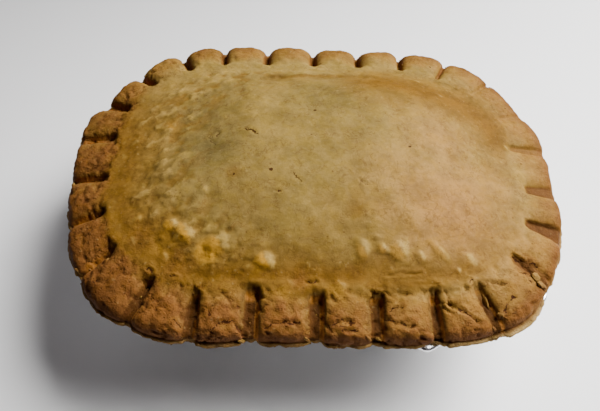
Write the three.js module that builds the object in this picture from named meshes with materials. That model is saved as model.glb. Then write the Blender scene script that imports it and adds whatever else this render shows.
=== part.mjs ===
// An oblong meat pie with a domed lid and a crimped pastry rim, baked in its own pressed foil tray.
// Millimetres, +Z up. The origin is the middle of the tray's flat base, the long side runs along X,
// and the side that faces the viewer is -Y.
import * as THREE from "three";
import { mergeVertices } from "three/addons/utils/BufferGeometryUtils.js";

// Plan: a rounded rectangle, over the lip of the pastry. An inset is a distance inwards from it.
const PIE_LENGTH = 141;
const PIE_WIDTH = 106;
const CORNER_RADIUS = 44;

// Foil tray
const TRAY_DEPTH = 28; // from the surface it stands on to the top of its flange
const FOIL = 0.4;
const TRAY_INSET = 0.6; // the pastry's lip hangs this far over the tray
const BEAD_RADIUS = 0.8; // rolled edge of the flange
const WALL_INSET = 10.5; // where the flange turns down into the wall
const SHOULDER = { inset: 0.4, drop: 1.5 }; // that turn
const WALL_DRAFT = 8.5; // how far the wall leans in from its top to its foot
const FOOT_RADIUS = 3.5;
const PLEAT_DEPTH = 0.35;
const PLEATS = 65;
const SHOULDER_PLEAT = 0.5; // share of the pleats' depth where they begin

// Pastry rim, pressed into crimps with a groove between each pair
const EDGE_INSET = 1.2; // the line through the grooves' outer ends
// Where the grooves cross that line, along the quarter of it from a long side's middle to a short side's
const GROOVE_STOPS = [0, 15.4, 29.8, 45.1, 63.5, 79.9, 95.1];
const CRIMP_LENGTH = 11.7; // inset of the grooves' inner ends
// A crimp's crown above the flange: it climbs towards the lid and drops at its outer brow
const CROWN = { foot: 4.9, slope: 0.15, browDrop: 1.6, browLength: 2.2 };
// Exponents of the loaf-shaped section between two grooves, and where one gives way to the other
const NEAR_SQUARENESS = 3.2;
const FAR_SQUARENESS = 1.8;
const NEAR_SIDE = [-36, -12];
// Over this stretch of Y the crimps grow taller and the grooves deeper, by these shares
const FAR_SIDE = [20, 45];
const FAR_TALLER = 0.22;
const FAR_DEEPER = 0.35;
const GROOVE_WIDTH = 3.5; // between its two brinks
const GROOVE_FLOOR_WIDTH = 1.7;
const GROOVE_FLOOR = 2.4; // above the flange at the rim's edge
const GROOVE_FLOOR_RISE = 1.3; // more at the inner end
const GROOVE_END_WALL = 2.4;
const NOTCH = 0.9; // how far a groove bites into the rim's edge
const FAR_NOTCH = 0.3; // more at the far side
// Grooves, counted from the near side's middle, that stand off their stops along the edge
const GROOVE_SHIFTS = { 10: -1.6, 14: 0.8, 15: 1.2, 16: 1.2 };
// Places where the grooves are wider and deeper than the rest, as shares
const GROOVE_SPOTS = [
  { x: 58, y: 34, reach: 24, wider: 0, deeper: -0.75 }, // nearly baked shut
  { x: -60, y: -34, reach: 26, wider: -0.6, deeper: 0.2 }, // narrow slits
  { x: -58, y: 36, reach: 20, wider: 0.9, deeper: 0.2 },
  { x: 70, y: -12, reach: 26, wider: 1.3, deeper: -0.15 }, // open wedges
];
const OPEN_TAPER = 0.5; // share of their width that the wide grooves keep at their inner ends
// The rim's outer face from its brow down to the lip: insets, and shares of the height above the lip
const FACE = [
  { inset: 3, up: 1 },
  { inset: 1.8, up: 0.92 },
  { inset: 1.05, up: 0.5 },
  { inset: 0.8, up: 0 },
];
const LIP_THICKNESS = 1.3; // the base pastry's edge, which shows under the crimps
const LIP_UNDERCUT = 0.2;
const LIP_NOTCH_SHARE = 0.6; // of the grooves' bite
const LIP_SPREAD = { x: 56, y: -41, reach: 15, more: 1.2 }; // it squeezed out further at one corner
const LIP_NOTCHES = { x: -24, y: -52, reach: 27, more: 1 }; // and the grooves cut deeper into it here

// Lid
const LID_EDGE = 14; // inset where the rim turns into the lid
const LID_RISE = 9.4;
const LID_ROUNDNESS = 2.6; // exponent of the dome: the higher, the flatter its top
const LID_FOOT = 1.5; // height over which the dome's foot is rounded into the rim
const LID_SWELLS = [
  { x: 20, y: 6, reach: 26, rise: 1.3 }, // plump right half over the filling
  { x: -35, y: 21, reach: 10, rise: -2.2 }, // valley at the left
  { x: -33, y: 6, reach: 10, rise: -1.9 },
  { x: -18, y: 29, reach: 9, rise: -0.9 },
  { x: -50, y: 2, reach: 12, rise: -0.9 }, // low left margin
];

// Unevenness of the crimps, each as the largest departure either way
const UNEVEN = { spacing: 0.4, height: 0.06, reach: 0.4, length: 0.8, width: 0.18 };

const CLEARANCE = 0.3; // between pastry and foil
const WALL_CLEARANCE = 0.8; // there, past the pleats

// How finely the shapes are cut up
const FLANK_SHARE = 0.4; // of the way from a groove's brink to the crown of a crimp
const CRIMP_RINGS = [7.5, 4.5]; // insets along a crimp, between its groove's end and its brow
const BEAD_ANGLES = [60, 0, -60, -120];
const LID_SHARES = [0, 0.13, 0.28, 0.43, 0.57, 0.7, 0.82, 0.92];
const FOOT_STEPS = 2;

// A number from -1 to 1 that depends only on the crimp and on what is being varied.
function uneven(crimp, channel) {
  const wave = Math.sin((crimp + 1) * 12.9898 + channel * 78.233) * 43758.5453;
  return 2 * (wave - Math.floor(wave)) - 1;
}

// Share from 1 at a spot to 0 well beyond its reach.
function nearSpot(point, spot) {
  const away = Math.hypot(point.x - spot.x, point.y - spot.y) / spot.reach;
  return Math.exp(-away * away);
}

// The closed plan line at an inset, counter-clockwise from the middle of the near side.
function planLine(inset) {
  const halfLength = PIE_LENGTH / 2 - inset;
  const halfWidth = PIE_WIDTH / 2 - inset;
  const radius = CORNER_RADIUS - inset;
  const cornerX = halfLength - radius;
  const cornerY = halfWidth - radius;
  const line = new THREE.Path();
  line.moveTo(0, -halfWidth);
  line.lineTo(cornerX, -halfWidth);
  line.absarc(cornerX, -cornerY, radius, -Math.PI / 2, 0);
  line.lineTo(halfLength, cornerY);
  line.absarc(cornerX, cornerY, radius, 0, Math.PI / 2);
  line.lineTo(-cornerX, halfWidth);
  line.absarc(-cornerX, cornerY, radius, Math.PI / 2, Math.PI);
  line.lineTo(-halfLength, -cornerY);
  line.absarc(-cornerX, -cornerY, radius, Math.PI, 1.5 * Math.PI);
  line.lineTo(0, -halfWidth);
  return line;
}

const edgeLine = planLine(EDGE_INSET);
const EDGE_LENGTH = edgeLine.getLength();

// A column stands at a distance along the edge line and looks straight across the rim.
function standColumn(distance) {
  const turn = distance / EDGE_LENGTH;
  const along = turn - Math.floor(turn);
  const point = edgeLine.getPoint(along);
  const tangent = edgeLine.getTangent(along);
  return { point, outward: new THREE.Vector2(tangent.y, -tangent.x) };
}

// The point of a column at an inset and a height.
function rimPoint(column, inset, z) {
  const reach = EDGE_INSET - inset;
  return new THREE.Vector3(
    column.point.x + column.outward.x * reach,
    column.point.y + column.outward.y * reach,
    z,
  );
}

// A closed solid from rings of points, listed from the top of the axis outwards and down to its foot.
// The first and last rings are single points. A lathe gives the mesh, from the foot upwards, and each
// of its corners moves to its ring's point at its column.
function ringSolid(ringsDown, columns) {
  const rings = ringsDown.toReversed();
  const profile = rings.map((ring, j) => {
    const pole = j === 0 || j === rings.length - 1;
    return new THREE.Vector2(pole ? 0 : 1, j);
  });
  const lathe = new THREE.LatheGeometry(profile, columns.length);
  const position = lathe.getAttribute("position");
  for (let i = 0; i <= columns.length; i++) {
    const column = columns[i % columns.length];
    rings.forEach((ring, j) => {
      const { x, y, z } = ring(column);
      position.setXYZ(i * rings.length + j, x, y, z);
    });
  }
  lathe.deleteAttribute("normal");
  lathe.deleteAttribute("uv");
  const solid = mergeVertices(lathe);
  solid.computeVertexNormals();
  return solid;
}

const onAxis = (z) => () => new THREE.Vector3(0, 0, z);

// The grooves round the whole edge: the stops of one quarter, mirrored into the other three.
function grooves() {
  const mirrored = GROOVE_STOPS.slice(1).map((stop) => EDGE_LENGTH / 2 - stop);
  const half = [...GROOVE_STOPS, ...mirrored.reverse()];
  const stops = [...half, ...half.map((stop) => stop + EDGE_LENGTH / 2)];
  return stops.map((stop, i) => {
    const { point } = standColumn(stop);
    const spots = GROOVE_SPOTS.map((spot) => ({ ...spot, share: nearSpot(point, spot) }));
    const wider = spots.reduce((sum, spot) => sum + spot.share * spot.wider, 0);
    const deeper = spots.reduce((sum, spot) => sum + spot.share * spot.deeper, 0);
    return {
      stop: stop + UNEVEN.spacing * uneven(i, 0) + (GROOVE_SHIFTS[i] ?? 0),
      widening: (1 + UNEVEN.width * uneven(i, 4)) * (1 + wider),
      taper: THREE.MathUtils.lerp(1, OPEN_TAPER, THREE.MathUtils.clamp(wider, 0, 1)),
      end: CRIMP_LENGTH + UNEVEN.length * uneven(i, 3),
      depth: 1 + deeper + FAR_DEEPER * THREE.MathUtils.smoothstep(point.y, ...FAR_SIDE),
    };
  });
}

// Share of a crimp's full height at a column: none on a groove's floor, which may narrow inwards.
function loaf(column, inset) {
  const inwards = THREE.MathUtils.clamp(inset / CRIMP_LENGTH, 0, 1);
  const floor = column.floor * THREE.MathUtils.lerp(1, column.taper, inwards);
  const up = THREE.MathUtils.clamp((column.away - floor) / (column.half - floor), 0, 1);
  return (1 - (1 - up) ** column.square) ** (1 / column.square);
}

// Columns of the pastry: eight to a crimp, crowded at the grooves.
function pastryColumns() {
  const all = grooves();
  return all.flatMap((groove, i) => {
    const last = i === all.length - 1;
    const next = last ? { ...all[0], stop: all[0].stop + EDGE_LENGTH } : all[i + 1];
    const half = (next.stop - groove.stop) / 2;
    const tallness = 1 + UNEVEN.height * uneven(i, 1);
    const reach = UNEVEN.reach * uneven(i, 2);
    // A column at a distance from one of the two grooves, on the crimp's side of it.
    const column = (from, away, side) => {
      const stand = standColumn(from.stop + side * away);
      const past = THREE.MathUtils.smoothstep(stand.point.y, ...NEAR_SIDE);
      const far = THREE.MathUtils.smoothstep(stand.point.y, ...FAR_SIDE);
      const made = {
        ...stand,
        away,
        half,
        reach,
        floor: (GROOVE_FLOOR_WIDTH / 2) * from.widening,
        taper: from.taper,
        square: THREE.MathUtils.lerp(NEAR_SQUARENESS, FAR_SQUARENESS, past),
        tallness: tallness * (1 + FAR_TALLER * far),
        grooveEnd: from.end,
        grooveDepth: from.depth,
      };
      const bite = (NOTCH + FAR_NOTCH * far) * (1 - loaf(made, 0)) * from.depth;
      return { ...made, bite };
    };
    const steps = (from) => {
      const brink = (GROOVE_WIDTH / 2) * from.widening;
      const flank = THREE.MathUtils.lerp(brink, half, FLANK_SHARE);
      return [(GROOVE_FLOOR_WIDTH / 2) * from.widening, brink, flank];
    };
    return [
      column(groove, 0, 1),
      ...steps(groove).map((away) => column(groove, away, 1)),
      column(groove, half, 1),
      ...steps(next).map((away) => column(next, away, -1)).reverse(),
    ];
  });
}

// Height of a crimp's crown above the flange.
function crownHeight(inset) {
  return CROWN.foot + CROWN.slope * inset - CROWN.browDrop * Math.exp(-inset / CROWN.browLength);
}

// Height of the pastry's top above the flange at a column and an inset.
function rimHeight(column, inset) {
  const fade = THREE.MathUtils.smoothstep(inset, CRIMP_LENGTH, LID_EDGE);
  const crown = crownHeight(inset) * THREE.MathUtils.lerp(column.tallness, 1, fade);
  const grooved = inset <= column.grooveEnd - GROOVE_END_WALL / 2;
  const bed = GROOVE_FLOOR + (GROOVE_FLOOR_RISE * inset) / CRIMP_LENGTH;
  const floor = THREE.MathUtils.lerp(crown, bed, column.grooveDepth);
  return grooved ? THREE.MathUtils.lerp(floor, crown, loaf(column, inset)) : crown;
}

// Height of the lid above the flange: a dome with the swells over it, and a rounded foot.
function lidHeight(x, y, share) {
  let dome = LID_RISE * (1 - share ** LID_ROUNDNESS);
  for (const swell of LID_SWELLS) {
    dome += swell.rise * nearSpot({ x, y }, swell) * (1 - share ** 4);
  }
  dome = Math.max(dome, 0);
  return crownHeight(LID_EDGE) + dome - LID_FOOT * (1 - Math.exp(-dome / LID_FOOT));
}

// The pie is solid pastry and filling: lid, crimped rim, and the tapered body inside the tray.
function pie() {
  const flangeTop = TRAY_DEPTH + CLEARANCE;
  const base = FOIL + CLEARANCE;
  const lidRing = (share) => (column) => {
    const edge = rimPoint(column, LID_EDGE, 0);
    const x = edge.x * share;
    const y = edge.y * share;
    return new THREE.Vector3(x, y, flangeTop + lidHeight(x, y, share));
  };
  // The top of the rim, drawn in where a groove bites into the edge. A groove's end wall stands
  // between two rings, wherever that groove ends.
  const topRing = (inset) => (column) => {
    const drawn = column.bite * (1 - THREE.MathUtils.smoothstep(inset, FACE[0].inset, CRIMP_LENGTH));
    return rimPoint(column, inset + drawn, flangeTop + rimHeight(column, inset));
  };
  const wallRing = (above) => (column) => {
    const end = column.grooveEnd + (above ? GROOVE_END_WALL / 2 : -GROOVE_END_WALL / 2);
    return rimPoint(column, end, flangeTop + rimHeight(column, end));
  };
  // The rim's edge, where grooves bite in and each crimp reaches out a little more or less.
  const faceRing = ({ inset, up }) => (column) => {
    const bitten = inset + column.reach * loaf(column, 0) + column.bite;
    const height = THREE.MathUtils.lerp(LIP_THICKNESS, rimHeight(column, inset), up);
    return rimPoint(column, bitten, flangeTop + height);
  };
  const lipRing = (inset, height) => (column) => {
    const spread = LIP_SPREAD.more * nearSpot(column.point, LIP_SPREAD);
    const notched = LIP_NOTCHES.more * nearSpot(column.point, LIP_NOTCHES) * (1 - loaf(column, 0));
    const bite = LIP_NOTCH_SHARE * column.bite + notched;
    return rimPoint(column, inset - spread + bite, flangeTop + height);
  };
  const bodyTop = WALL_INSET + WALL_CLEARANCE;
  const bodyFoot = bodyTop + WALL_DRAFT;
  const level = (inset, z) => (column) => rimPoint(column, inset, z);
  const rings = [
    ...LID_SHARES.map(lidRing),
    topRing(LID_EDGE),
    wallRing(true),
    wallRing(false),
    ...CRIMP_RINGS.map(topRing),
    ...FACE.map(faceRing),
    lipRing(0, LIP_THICKNESS / 2),
    lipRing(LIP_UNDERCUT, 0),
    level(bodyTop, flangeTop),
    level(bodyTop + SHOULDER.inset, flangeTop - SHOULDER.drop),
    level(bodyFoot, base + FOOT_RADIUS),
    level(bodyFoot + FOOT_RADIUS, base),
    onAxis(base),
  ];
  return ringSolid(rings, pastryColumns());
}

// The tray: a level base, a leaning pleated wall and a flange with a rolled edge, all of one foil.
function foilTray() {
  const columns = Array.from({ length: 2 * PLEATS }, (_, i) => ({
    ...standColumn((i * EDGE_LENGTH) / (2 * PLEATS)),
    pleat: i % 2 ? PLEAT_DEPTH : -PLEAT_DEPTH,
  }));
  const ring = (inset, z, pleatShare = 0) => (column) =>
    rimPoint(column, inset + column.pleat * pleatShare, z);
  // The foot's arc, from the wall down to the base, for a skin at a depth below the inner one.
  const foot = (depth) =>
    Array.from({ length: FOOT_STEPS + 1 }, (_, k) => {
      const angle = (k / FOOT_STEPS) * (Math.PI / 2);
      const radius = FOOT_RADIUS + depth;
      const inset = WALL_INSET + WALL_DRAFT + FOOT_RADIUS - radius * Math.cos(angle);
      const z = FOIL + FOOT_RADIUS - radius * Math.sin(angle);
      return ring(inset, z, 1 - k / FOOT_STEPS);
    });
  const beadMiddle = TRAY_DEPTH - BEAD_RADIUS;
  const bead = BEAD_ANGLES.map((degrees) => {
    const angle = THREE.MathUtils.degToRad(degrees);
    const inset = TRAY_INSET + BEAD_RADIUS * (1 - Math.cos(angle));
    return ring(inset, beadMiddle + BEAD_RADIUS * Math.sin(angle));
  });
  const rings = [
    onAxis(FOIL),
    ...foot(0).toReversed(),
    ring(WALL_INSET + SHOULDER.inset, TRAY_DEPTH - SHOULDER.drop, SHOULDER_PLEAT),
    ring(WALL_INSET, TRAY_DEPTH),
    ring(TRAY_INSET + BEAD_RADIUS, TRAY_DEPTH),
    ...bead,
    ring(TRAY_INSET + 2 * BEAD_RADIUS, TRAY_DEPTH - FOIL),
    ring(WALL_INSET - FOIL, TRAY_DEPTH - FOIL),
    ring(WALL_INSET + SHOULDER.inset - FOIL, TRAY_DEPTH - SHOULDER.drop - FOIL, SHOULDER_PLEAT),
    ...foot(FOIL),
    onAxis(0),
  ];
  return ringSolid(rings, columns);
}

function namedMesh(name, geometry, material) {
  const mesh = new THREE.Mesh(geometry, new THREE.MeshStandardMaterial(material));
  mesh.name = name;
  return mesh;
}

const steakPie = new THREE.Group();
steakPie.add(
  namedMesh("foil_tray", foilTray(), { color: 0xc9ccd0, roughness: 0.32, metalness: 1 }),
  namedMesh("pie", pie(), { color: 0xb98a4a, roughness: 0.62, metalness: 0 }),
);

export default steakPie;
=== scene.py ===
"""Steak and kidney pie in its foil tray: crust, foil and crumbs modelled over the packed solids.

Lengths in the shape functions are millimetres in the part's own frame; MM turns them into metres
when a mesh is written. An inset is a distance inwards from the pie's plan outline. A pair of numbers
that goes to smoothstep says where a share is 0 and where it is 1.
"""

import math
from types import SimpleNamespace

import bpy
import numpy as np
from mathutils import Matrix, Vector, noise
from mathutils.bvhtree import BVHTree


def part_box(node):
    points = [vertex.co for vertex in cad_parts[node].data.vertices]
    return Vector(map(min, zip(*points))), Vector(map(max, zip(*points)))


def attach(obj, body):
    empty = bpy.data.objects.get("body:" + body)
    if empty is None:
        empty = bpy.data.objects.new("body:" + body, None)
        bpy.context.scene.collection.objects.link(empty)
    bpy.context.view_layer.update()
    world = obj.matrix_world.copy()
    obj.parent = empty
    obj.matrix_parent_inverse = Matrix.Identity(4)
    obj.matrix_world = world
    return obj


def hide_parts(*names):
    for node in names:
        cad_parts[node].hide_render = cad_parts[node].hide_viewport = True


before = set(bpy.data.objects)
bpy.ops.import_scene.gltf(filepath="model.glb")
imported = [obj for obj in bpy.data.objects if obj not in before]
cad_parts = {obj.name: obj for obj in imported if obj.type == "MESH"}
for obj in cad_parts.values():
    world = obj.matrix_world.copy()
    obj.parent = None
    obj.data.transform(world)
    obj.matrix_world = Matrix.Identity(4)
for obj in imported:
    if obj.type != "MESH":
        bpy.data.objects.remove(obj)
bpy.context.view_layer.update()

MM = 0.001
pie_low, pie_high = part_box("pie")
_, tray_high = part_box("foil_tray")

# Plan and tray
PIE_LENGTH = (pie_high[0] - pie_low[0]) / MM
PIE_WIDTH = (pie_high[1] - pie_low[1]) / MM
CORNER_RADIUS = 44.0
TRAY_DEPTH = tray_high[2] / MM
FOIL = 0.16
FOIL_SPACE = 0.4
SHOULDER_DROP = 1.5
TRAY_INSET = 0.6
BEAD_RADIUS = 0.8
WALL_INSET = 10.5
WALL_DRAFT = 8.5
FOOT_RADIUS = 3.5
PLEATS = 65
PLEAT_DEPTH = 0.35

# Rings of the foil, from the base to the rolled edge
BASE_INSETS = (40.0, 31.0)
FOOT_MARGIN = 1.5
FOOT_RINGS = 7
WALL_SHARES = (0.15, 1.0)
WALL_RINGS = 7
PLEAT_TOP_SHARE = 0.5
# Steps outwards and down from the wall's top, and the share of the pleats
SHOULDER_RINGS = [(0.25, 0.6, 0.3), (0.8, FOIL, 0.15)]
FLANGE_INSETS = (8.0, 5.5, 3.2)
ROLL_DEGREES = (90, -170)
ROLL_RINGS = 14
FOIL_EDGE = (4.0, 1.5)
CRINKLES = SimpleNamespace(lumps=(3.0, 2, 2.2), push=0.15, drop=0.12)
FOIL_PINCH = 1.6
FOIL_SMOOTH_ANGLE = math.radians(50)

# Crimped rim
EDGE_INSET = 1.2
GROOVE_STOPS = [0, 15.4, 29.8, 45.1, 63.5, 79.9, 95.1]
CRIMP_LENGTH = 11.7
CROWN_FOOT = 4.9
CROWN_SLOPE = 0.15
BROW_DROP = 1.6
BROW_LENGTH = 2.2
BROW_INSET = 3.0
FACE_FOOT_INSET = 0.8
FACE_ROUNDNESS = 2.6
NEAR_SQUARENESS = 3.2
FAR_SQUARENESS = 2.6
LEFT_SQUARENESS = 2.9
RIGHT_SHOULDER = 2.1
NEAR_SIDE = (-12.0, -36.0)
FAR_SIDE = (20.0, 45.0)
LEFT_SIDE = (-38.0, -52.0)
FAR_TALLER = 0.22
FAR_DEEPER = 0.35
GROOVE_FLOOR_WIDTH = 2.0
# Shares of that width to the left and right of a near groove's middle, and on the far side
FLOOR_SHARES = (1.1, 1.4)
FAR_FLOOR = 0.55
GROOVE_FLOOR = 2.4
GROOVE_FLOOR_RISE = 1.3
GROOVE_END_WALL = 3.0
GROOVE_SHIFTS = {10: -1.6, 14: 0.8, 15: 1.2, 16: 1.2}
NOTCH = 0.9
FAR_NOTCH = 0.3
OPEN_TAPER = 0.5
UNEVEN = SimpleNamespace(spacing=0.4, height=0.06, reach=0.4, length=0.8, width=0.18)
SCATTER = SimpleNamespace(step=12.9898, channel=78.233, scale=43758.5453)
# Where the grooves differ from the rest: place, reach, how much wider and how much deeper
GROOVE_SPOTS = [
    (58.0, 34.0, 26.0, 0.0, -0.82),
    (-60.0, -34.0, 26.0, -0.6, 0.2),
    (-58.0, 36.0, 20.0, 0.9, 0.2),
    (70.0, -12.0, 26.0, 1.3, -0.25),
    (59.0, -34.0, 9.0, 0.3, -0.58),
    (45.0, -46.0, 7.0, 0.3, -0.3),
    (69.0, 14.0, 8.0, 0.2, -0.3),
    (71.0, -9.0, 8.0, 0.0, -0.34),
    (69.0, -24.0, 7.0, 0.0, -0.22),
]
# Where the edge stands out or is drawn in: place, reach and how far
EDGE_BULGES = [
    (52.0, 40.0, 22.0, 1.2),
    (70.0, 11.0, 13.0, 1.3),
    (66.0, 29.0, 9.0, -1.2),
    (-70.0, 9.0, 12.0, 1.4),
    (-62.0, 31.0, 11.0, -1.3),
    (-68.0, -20.0, 13.0, -1.5),
    (-50.0, -46.0, 14.0, 1.1),
    (-28.0, -53.0, 14.0, 0.7),
    (36.0, -52.0, 9.0, -0.7),
    (53.0, -46.0, 13.0, 1.7),
    (-22.0, 53.0, 26.0, 0.8),
]
BULGE_FADE = (10.0, 2.0)

# Lip of base pastry under the crimps: inset and share of its thickness, from its top to its underside
LIP_THICKNESS = 1.3
LIP_PROFILE = [(0.4, 0.97), (0.1, 0.8), (0, 0.5), (0.06, 0.2), (0.25, 0)]
LIP_BITE = 0.7
LIP_SPREAD = SimpleNamespace(spot=(51.0, -47.0, 14.0), more=0.6)
LIP_NOTCHES = SimpleNamespace(spot=(-24.0, -52.0, 27.0), more=1.0)
LIP_RAGGED = SimpleNamespace(lumps=(2.6, 3, 1.7), depth=0.28)

# Lid
LID_EDGE = 14.0
LID_RISE = 9.4
LID_ROUNDNESS = 2.6
LID_FOOT = 1.5
LID_SWELLS = [
    (20.0, 6.0, 26.0, 1.3),
    (-35.0, 21.0, 10.0, -2.2),
    (-33.0, 6.0, 10.0, -1.9),
    (-18.0, 29.0, 9.0, -0.9),
    (-50.0, 2.0, 12.0, -0.9),
]
SWELL_FADE = 4

# Body of the pie inside the tray
CLEARANCE = 0.3
FLANGE_TOP = TRAY_DEPTH + CLEARANCE
BODY_BASE = pie_low[2] / MM
BODY_GAP = 0.8
BODY_TOP = WALL_INSET + BODY_GAP
BODY_SHOULDER = SimpleNamespace(inset=0.4, drop=1.5)

# Flat templates that are pressed into shape
TOP_RINGS = 27
FACE_RINGS = 12
COLUMNS_PER_CRIMP = 32
COLUMNS_PER_PLEAT = 8
CROWDING = 0.35
CROWDING_FADE = 6
RING_STEP = 0.1
GRID_OFFSET = 48
POLE_DROP = 1.0

# Photo frame and its camera
IMAGE_WIDTH, IMAGE_HEIGHT = 600, 411
FOCAL_PIXELS = 500.0
CAMERA_PLACE = np.array([-6.534, -93.037, 146.288])
CAMERA_RIGHT = np.array([0.99946, 0.01285, 0.03039])
CAMERA_UP = np.array([-0.02786, 0.82223, 0.56847])
CAMERA_BACK = np.cross(CAMERA_RIGHT, CAMERA_UP)
SENSOR_WIDTH = 36.0
CLIP_START = 0.01
PIE_MIDDLE = np.array([312, 200])
OUTLINE_SLACK = 8

# Noises of the crust: size, octaves and shift of each, and its height on the lid and on the crimps
BROAD = (7.0, 2, 0.0)
MIDDLING = (2.2, 3, 3.1)
FINE = (0.95, 2, 8.7)
BROAD_HEIGHT = 0.3
MIDDLING_HEIGHTS = (0.06, 0.2)
FINE_HEIGHTS = (0.02, 0.08)
CRUMBLY_HEIGHT = 0.14
WALL_CALM = 0.65
WANDER = SimpleNamespace(size=1.7, octaves=2, shift=7.3)
OCTAVES = SimpleNamespace(weaker=1.0, finer=2.0)
EDGE_WANDER = 1.3
CRIMPS_END = (15.0, 11.5)
LOBES_END = (12.5, 8.5)
# Spans of the ramp towards the near left along X and Y, and where in spans it starts and is full
CRUMBLY_PART = (45.0, 38.0, -1.1, 0.3)
CREASE_TURN = math.radians(40)
CREASES = SimpleNamespace(length=5.0, width=1.5, lumps=(1.0, 2, 12.3), height=0.09, part=(-24.0, 16.0))
# Ruffles on the lid's left; pale is painted on their crests as a highlight, and the glaze tone lies in their
# hollows
RUFFLES = SimpleNamespace(
    stretch=1.9, wander=0.6, lumps=(2.7, 2, 9.4), height=0.55, outer=(15, 18), inner=(36, 24),
    left_span=62.0, corner_share=0.25 / 40, part=(0.1, 0.7), pale=0.46, crests=(-0.05, 0.6),
    glaze=0.7, valleys=(0.1, -0.4),
)

# What the photo shows on the crust, by pixel of the photo: a blister's length, width, turn and height,
# a crack's width and depth, a fold's width and height (all mm and degrees)
BLISTERS = [
    ((217, 244), 8.2, 5.8, 20, 1.2),
    ((265, 261), 5.6, 4.6, -20, 1.0),
    ((184, 232), 8.5, 4.6, -40, 0.9),
    ((363, 250), 4.6, 6.0, 0, 0.8),
    ((383, 249), 3.0, 3.2, 0, 0.6),
    ((399, 250), 6.2, 5.8, 0, 0.85),
    ((420, 257), 3.2, 3.6, 0, 0.42),
    ((438, 250), 8.5, 3.0, -48, 0.5),
    ((467, 260), 5.4, 5.0, 0, 0.4),
    ((456, 270), 3.4, 2.2, 0, 0.35),
    ((339, 286), 4.6, 3.4, 0, 0.3),
    ((378, 237), 2.4, 1.6, 0, 0.3),
    ((307, 265), 2.0, 2.0, 0, 0.3),
    ((286, 283), 5.0, 3.0, 0, 0.2),
    ((131, 243), 2.8, 3.8, 0, 0.25),
    ((163, 258), 3.4, 4.0, 0, 0.25),
    ((171, 225), 6.0, 4.4, -40, 0.5),
    ((169, 201), 5.0, 3.6, 50, 0.35),
    ((137, 220), 3.6, 2.8, 40, 0.22),
    ((171, 126), 4.0, 3.2, 40, 0.25),
    ((168, 106), 4.2, 1.7, 30, 0.3),
    ((194, 95), 5.0, 1.7, 20, 0.3),
    ((140, 189), 5.0, 2.6, 60, 0.25),
    ((166, 173), 5.5, 3.6, 50, 0.3),
    ((203, 191), 4.0, 3.6, 60, 0.32),
    ((163, 153), 5.0, 2.8, 40, 0.27),
    ((414, 81), 5.0, 1.7, -15, 0.3),
    ((436, 95), 5.0, 2.0, -20, 0.3),
    ((505, 148), 2.4, 2.4, 0, 0.3),
]
# Blister domes; the pale on their side towards the light is a painted highlight, and the honey on their other
# side is painted shade
BLISTER_SHAPE = SimpleNamespace(
    rise=0.65, rim=(1.15, 0.2), middling=0.3, fine=0.1, bold_height=0.5, light_from=(0.85, 0.53),
    lit=(-0.05, 0.5), lit_fine=0.15, honey_heights=(0.28, 0.6), honey=0.72, honey_less=0.3, honey_x=(-20, 10),
)
SMALL_BLISTERS = SimpleNamespace(
    count=320, sizes=(1.2, 3.2), widths=(0.4, 0.8), turns=(15, 75), height=0.055,
    part=(60.0, 45.0, -0.7, 0.9), seed=11,
)
CRACKS = [
    ([(213, 329), (219, 323), (226, 322), (232, 320), (236, 326), (242, 331), (244, 335)], 0.34, 0.7),
    ([(208, 309), (210, 314)], 0.3, 0.5),
    ([(266, 328), (274, 323), (283, 322), (292, 324), (299, 323)], 0.34, 0.7),
    ([(174, 321), (178, 326)], 0.3, 0.45),
    ([(95, 281), (102, 282), (108, 280)], 0.34, 0.55),
    ([(328, 327), (337, 322), (346, 321), (355, 323)], 0.32, 0.6),
    ([(343, 330), (350, 332), (357, 331)], 0.3, 0.5),
    ([(388, 319), (395, 323), (402, 324), (408, 328), (413, 327)], 0.34, 0.7),
    ([(391, 310), (397, 308), (401, 308)], 0.3, 0.5),
    ([(448, 304), (457, 307), (465, 312), (474, 319), (481, 322)], 0.36, 0.8),
    ([(501, 284), (505, 283)], 0.34, 0.6),
    ([(514, 297), (509, 302), (505, 313)], 0.36, 0.7),
    ([(513, 257), (519, 262), (525, 269), (533, 276), (540, 279)], 0.4, 0.3),
    ([(519, 272), (527, 276), (531, 283)], 0.34, 0.35),
    ([(529, 262), (536, 268)], 0.34, 0.35),
    ([(388, 276), (396, 274), (407, 274), (420, 273)], 0.28, 0.13),
    ([(305, 282), (317, 281)], 0.28, 0.45),
    ([(469, 282), (472, 280)], 0.28, 0.45),
    ([(146, 268), (151, 271)], 0.3, 0.5),
    ([(171, 276), (175, 277)], 0.28, 0.4),
    ([(208, 137), (215, 144)], 0.24, 0.35),
    ([(241, 128), (251, 130), (258, 134)], 0.24, 0.35),
    ([(312, 134), (316, 136)], 0.24, 0.3),
    ([(220, 131), (217, 137)], 0.24, 0.3),
    ([(293, 172), (298, 178), (302, 181)], 0.24, 0.2),
    ([(277, 190), (282, 191)], 0.24, 0.2),
    ([(360, 178), (364, 182), (367, 185)], 0.24, 0.18),
]
CRACK_REACH = 1.6
# A crack's raised lips stand a few crack widths from its middle
CRACK_SHAPE = SimpleNamespace(
    wander=0.55, sink=0.7, lip_height=0.16, lip_place=3, lip_width=1.6, full_depth=0.5,
    fade=(0.95 * CRACK_REACH, 0.6 * CRACK_REACH), end=(0.6, 0),
)
SPLITS = SimpleNamespace(
    cell=3.3, edge=(0.16, 0.02), lumps=(4.5, 2, 5.5), part=(-0.1, 0.3), depth=0.5, dark=0.65,
)
FOLDS = [
    ([(390, 281), (410, 284), (428, 281), (447, 285), (468, 283)], 1.2, 0.25),
    ([(392, 293), (412, 295), (430, 292), (455, 293)], 0.7, -0.35),
    ([(296, 281), (312, 284), (326, 283)], 1.8, -0.45),
    ([(185, 276), (210, 279), (236, 280)], 1.8, -0.3),
]
FOLD_WANDER = 0.5
FOLD_UNEVEN = 0.4
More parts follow.
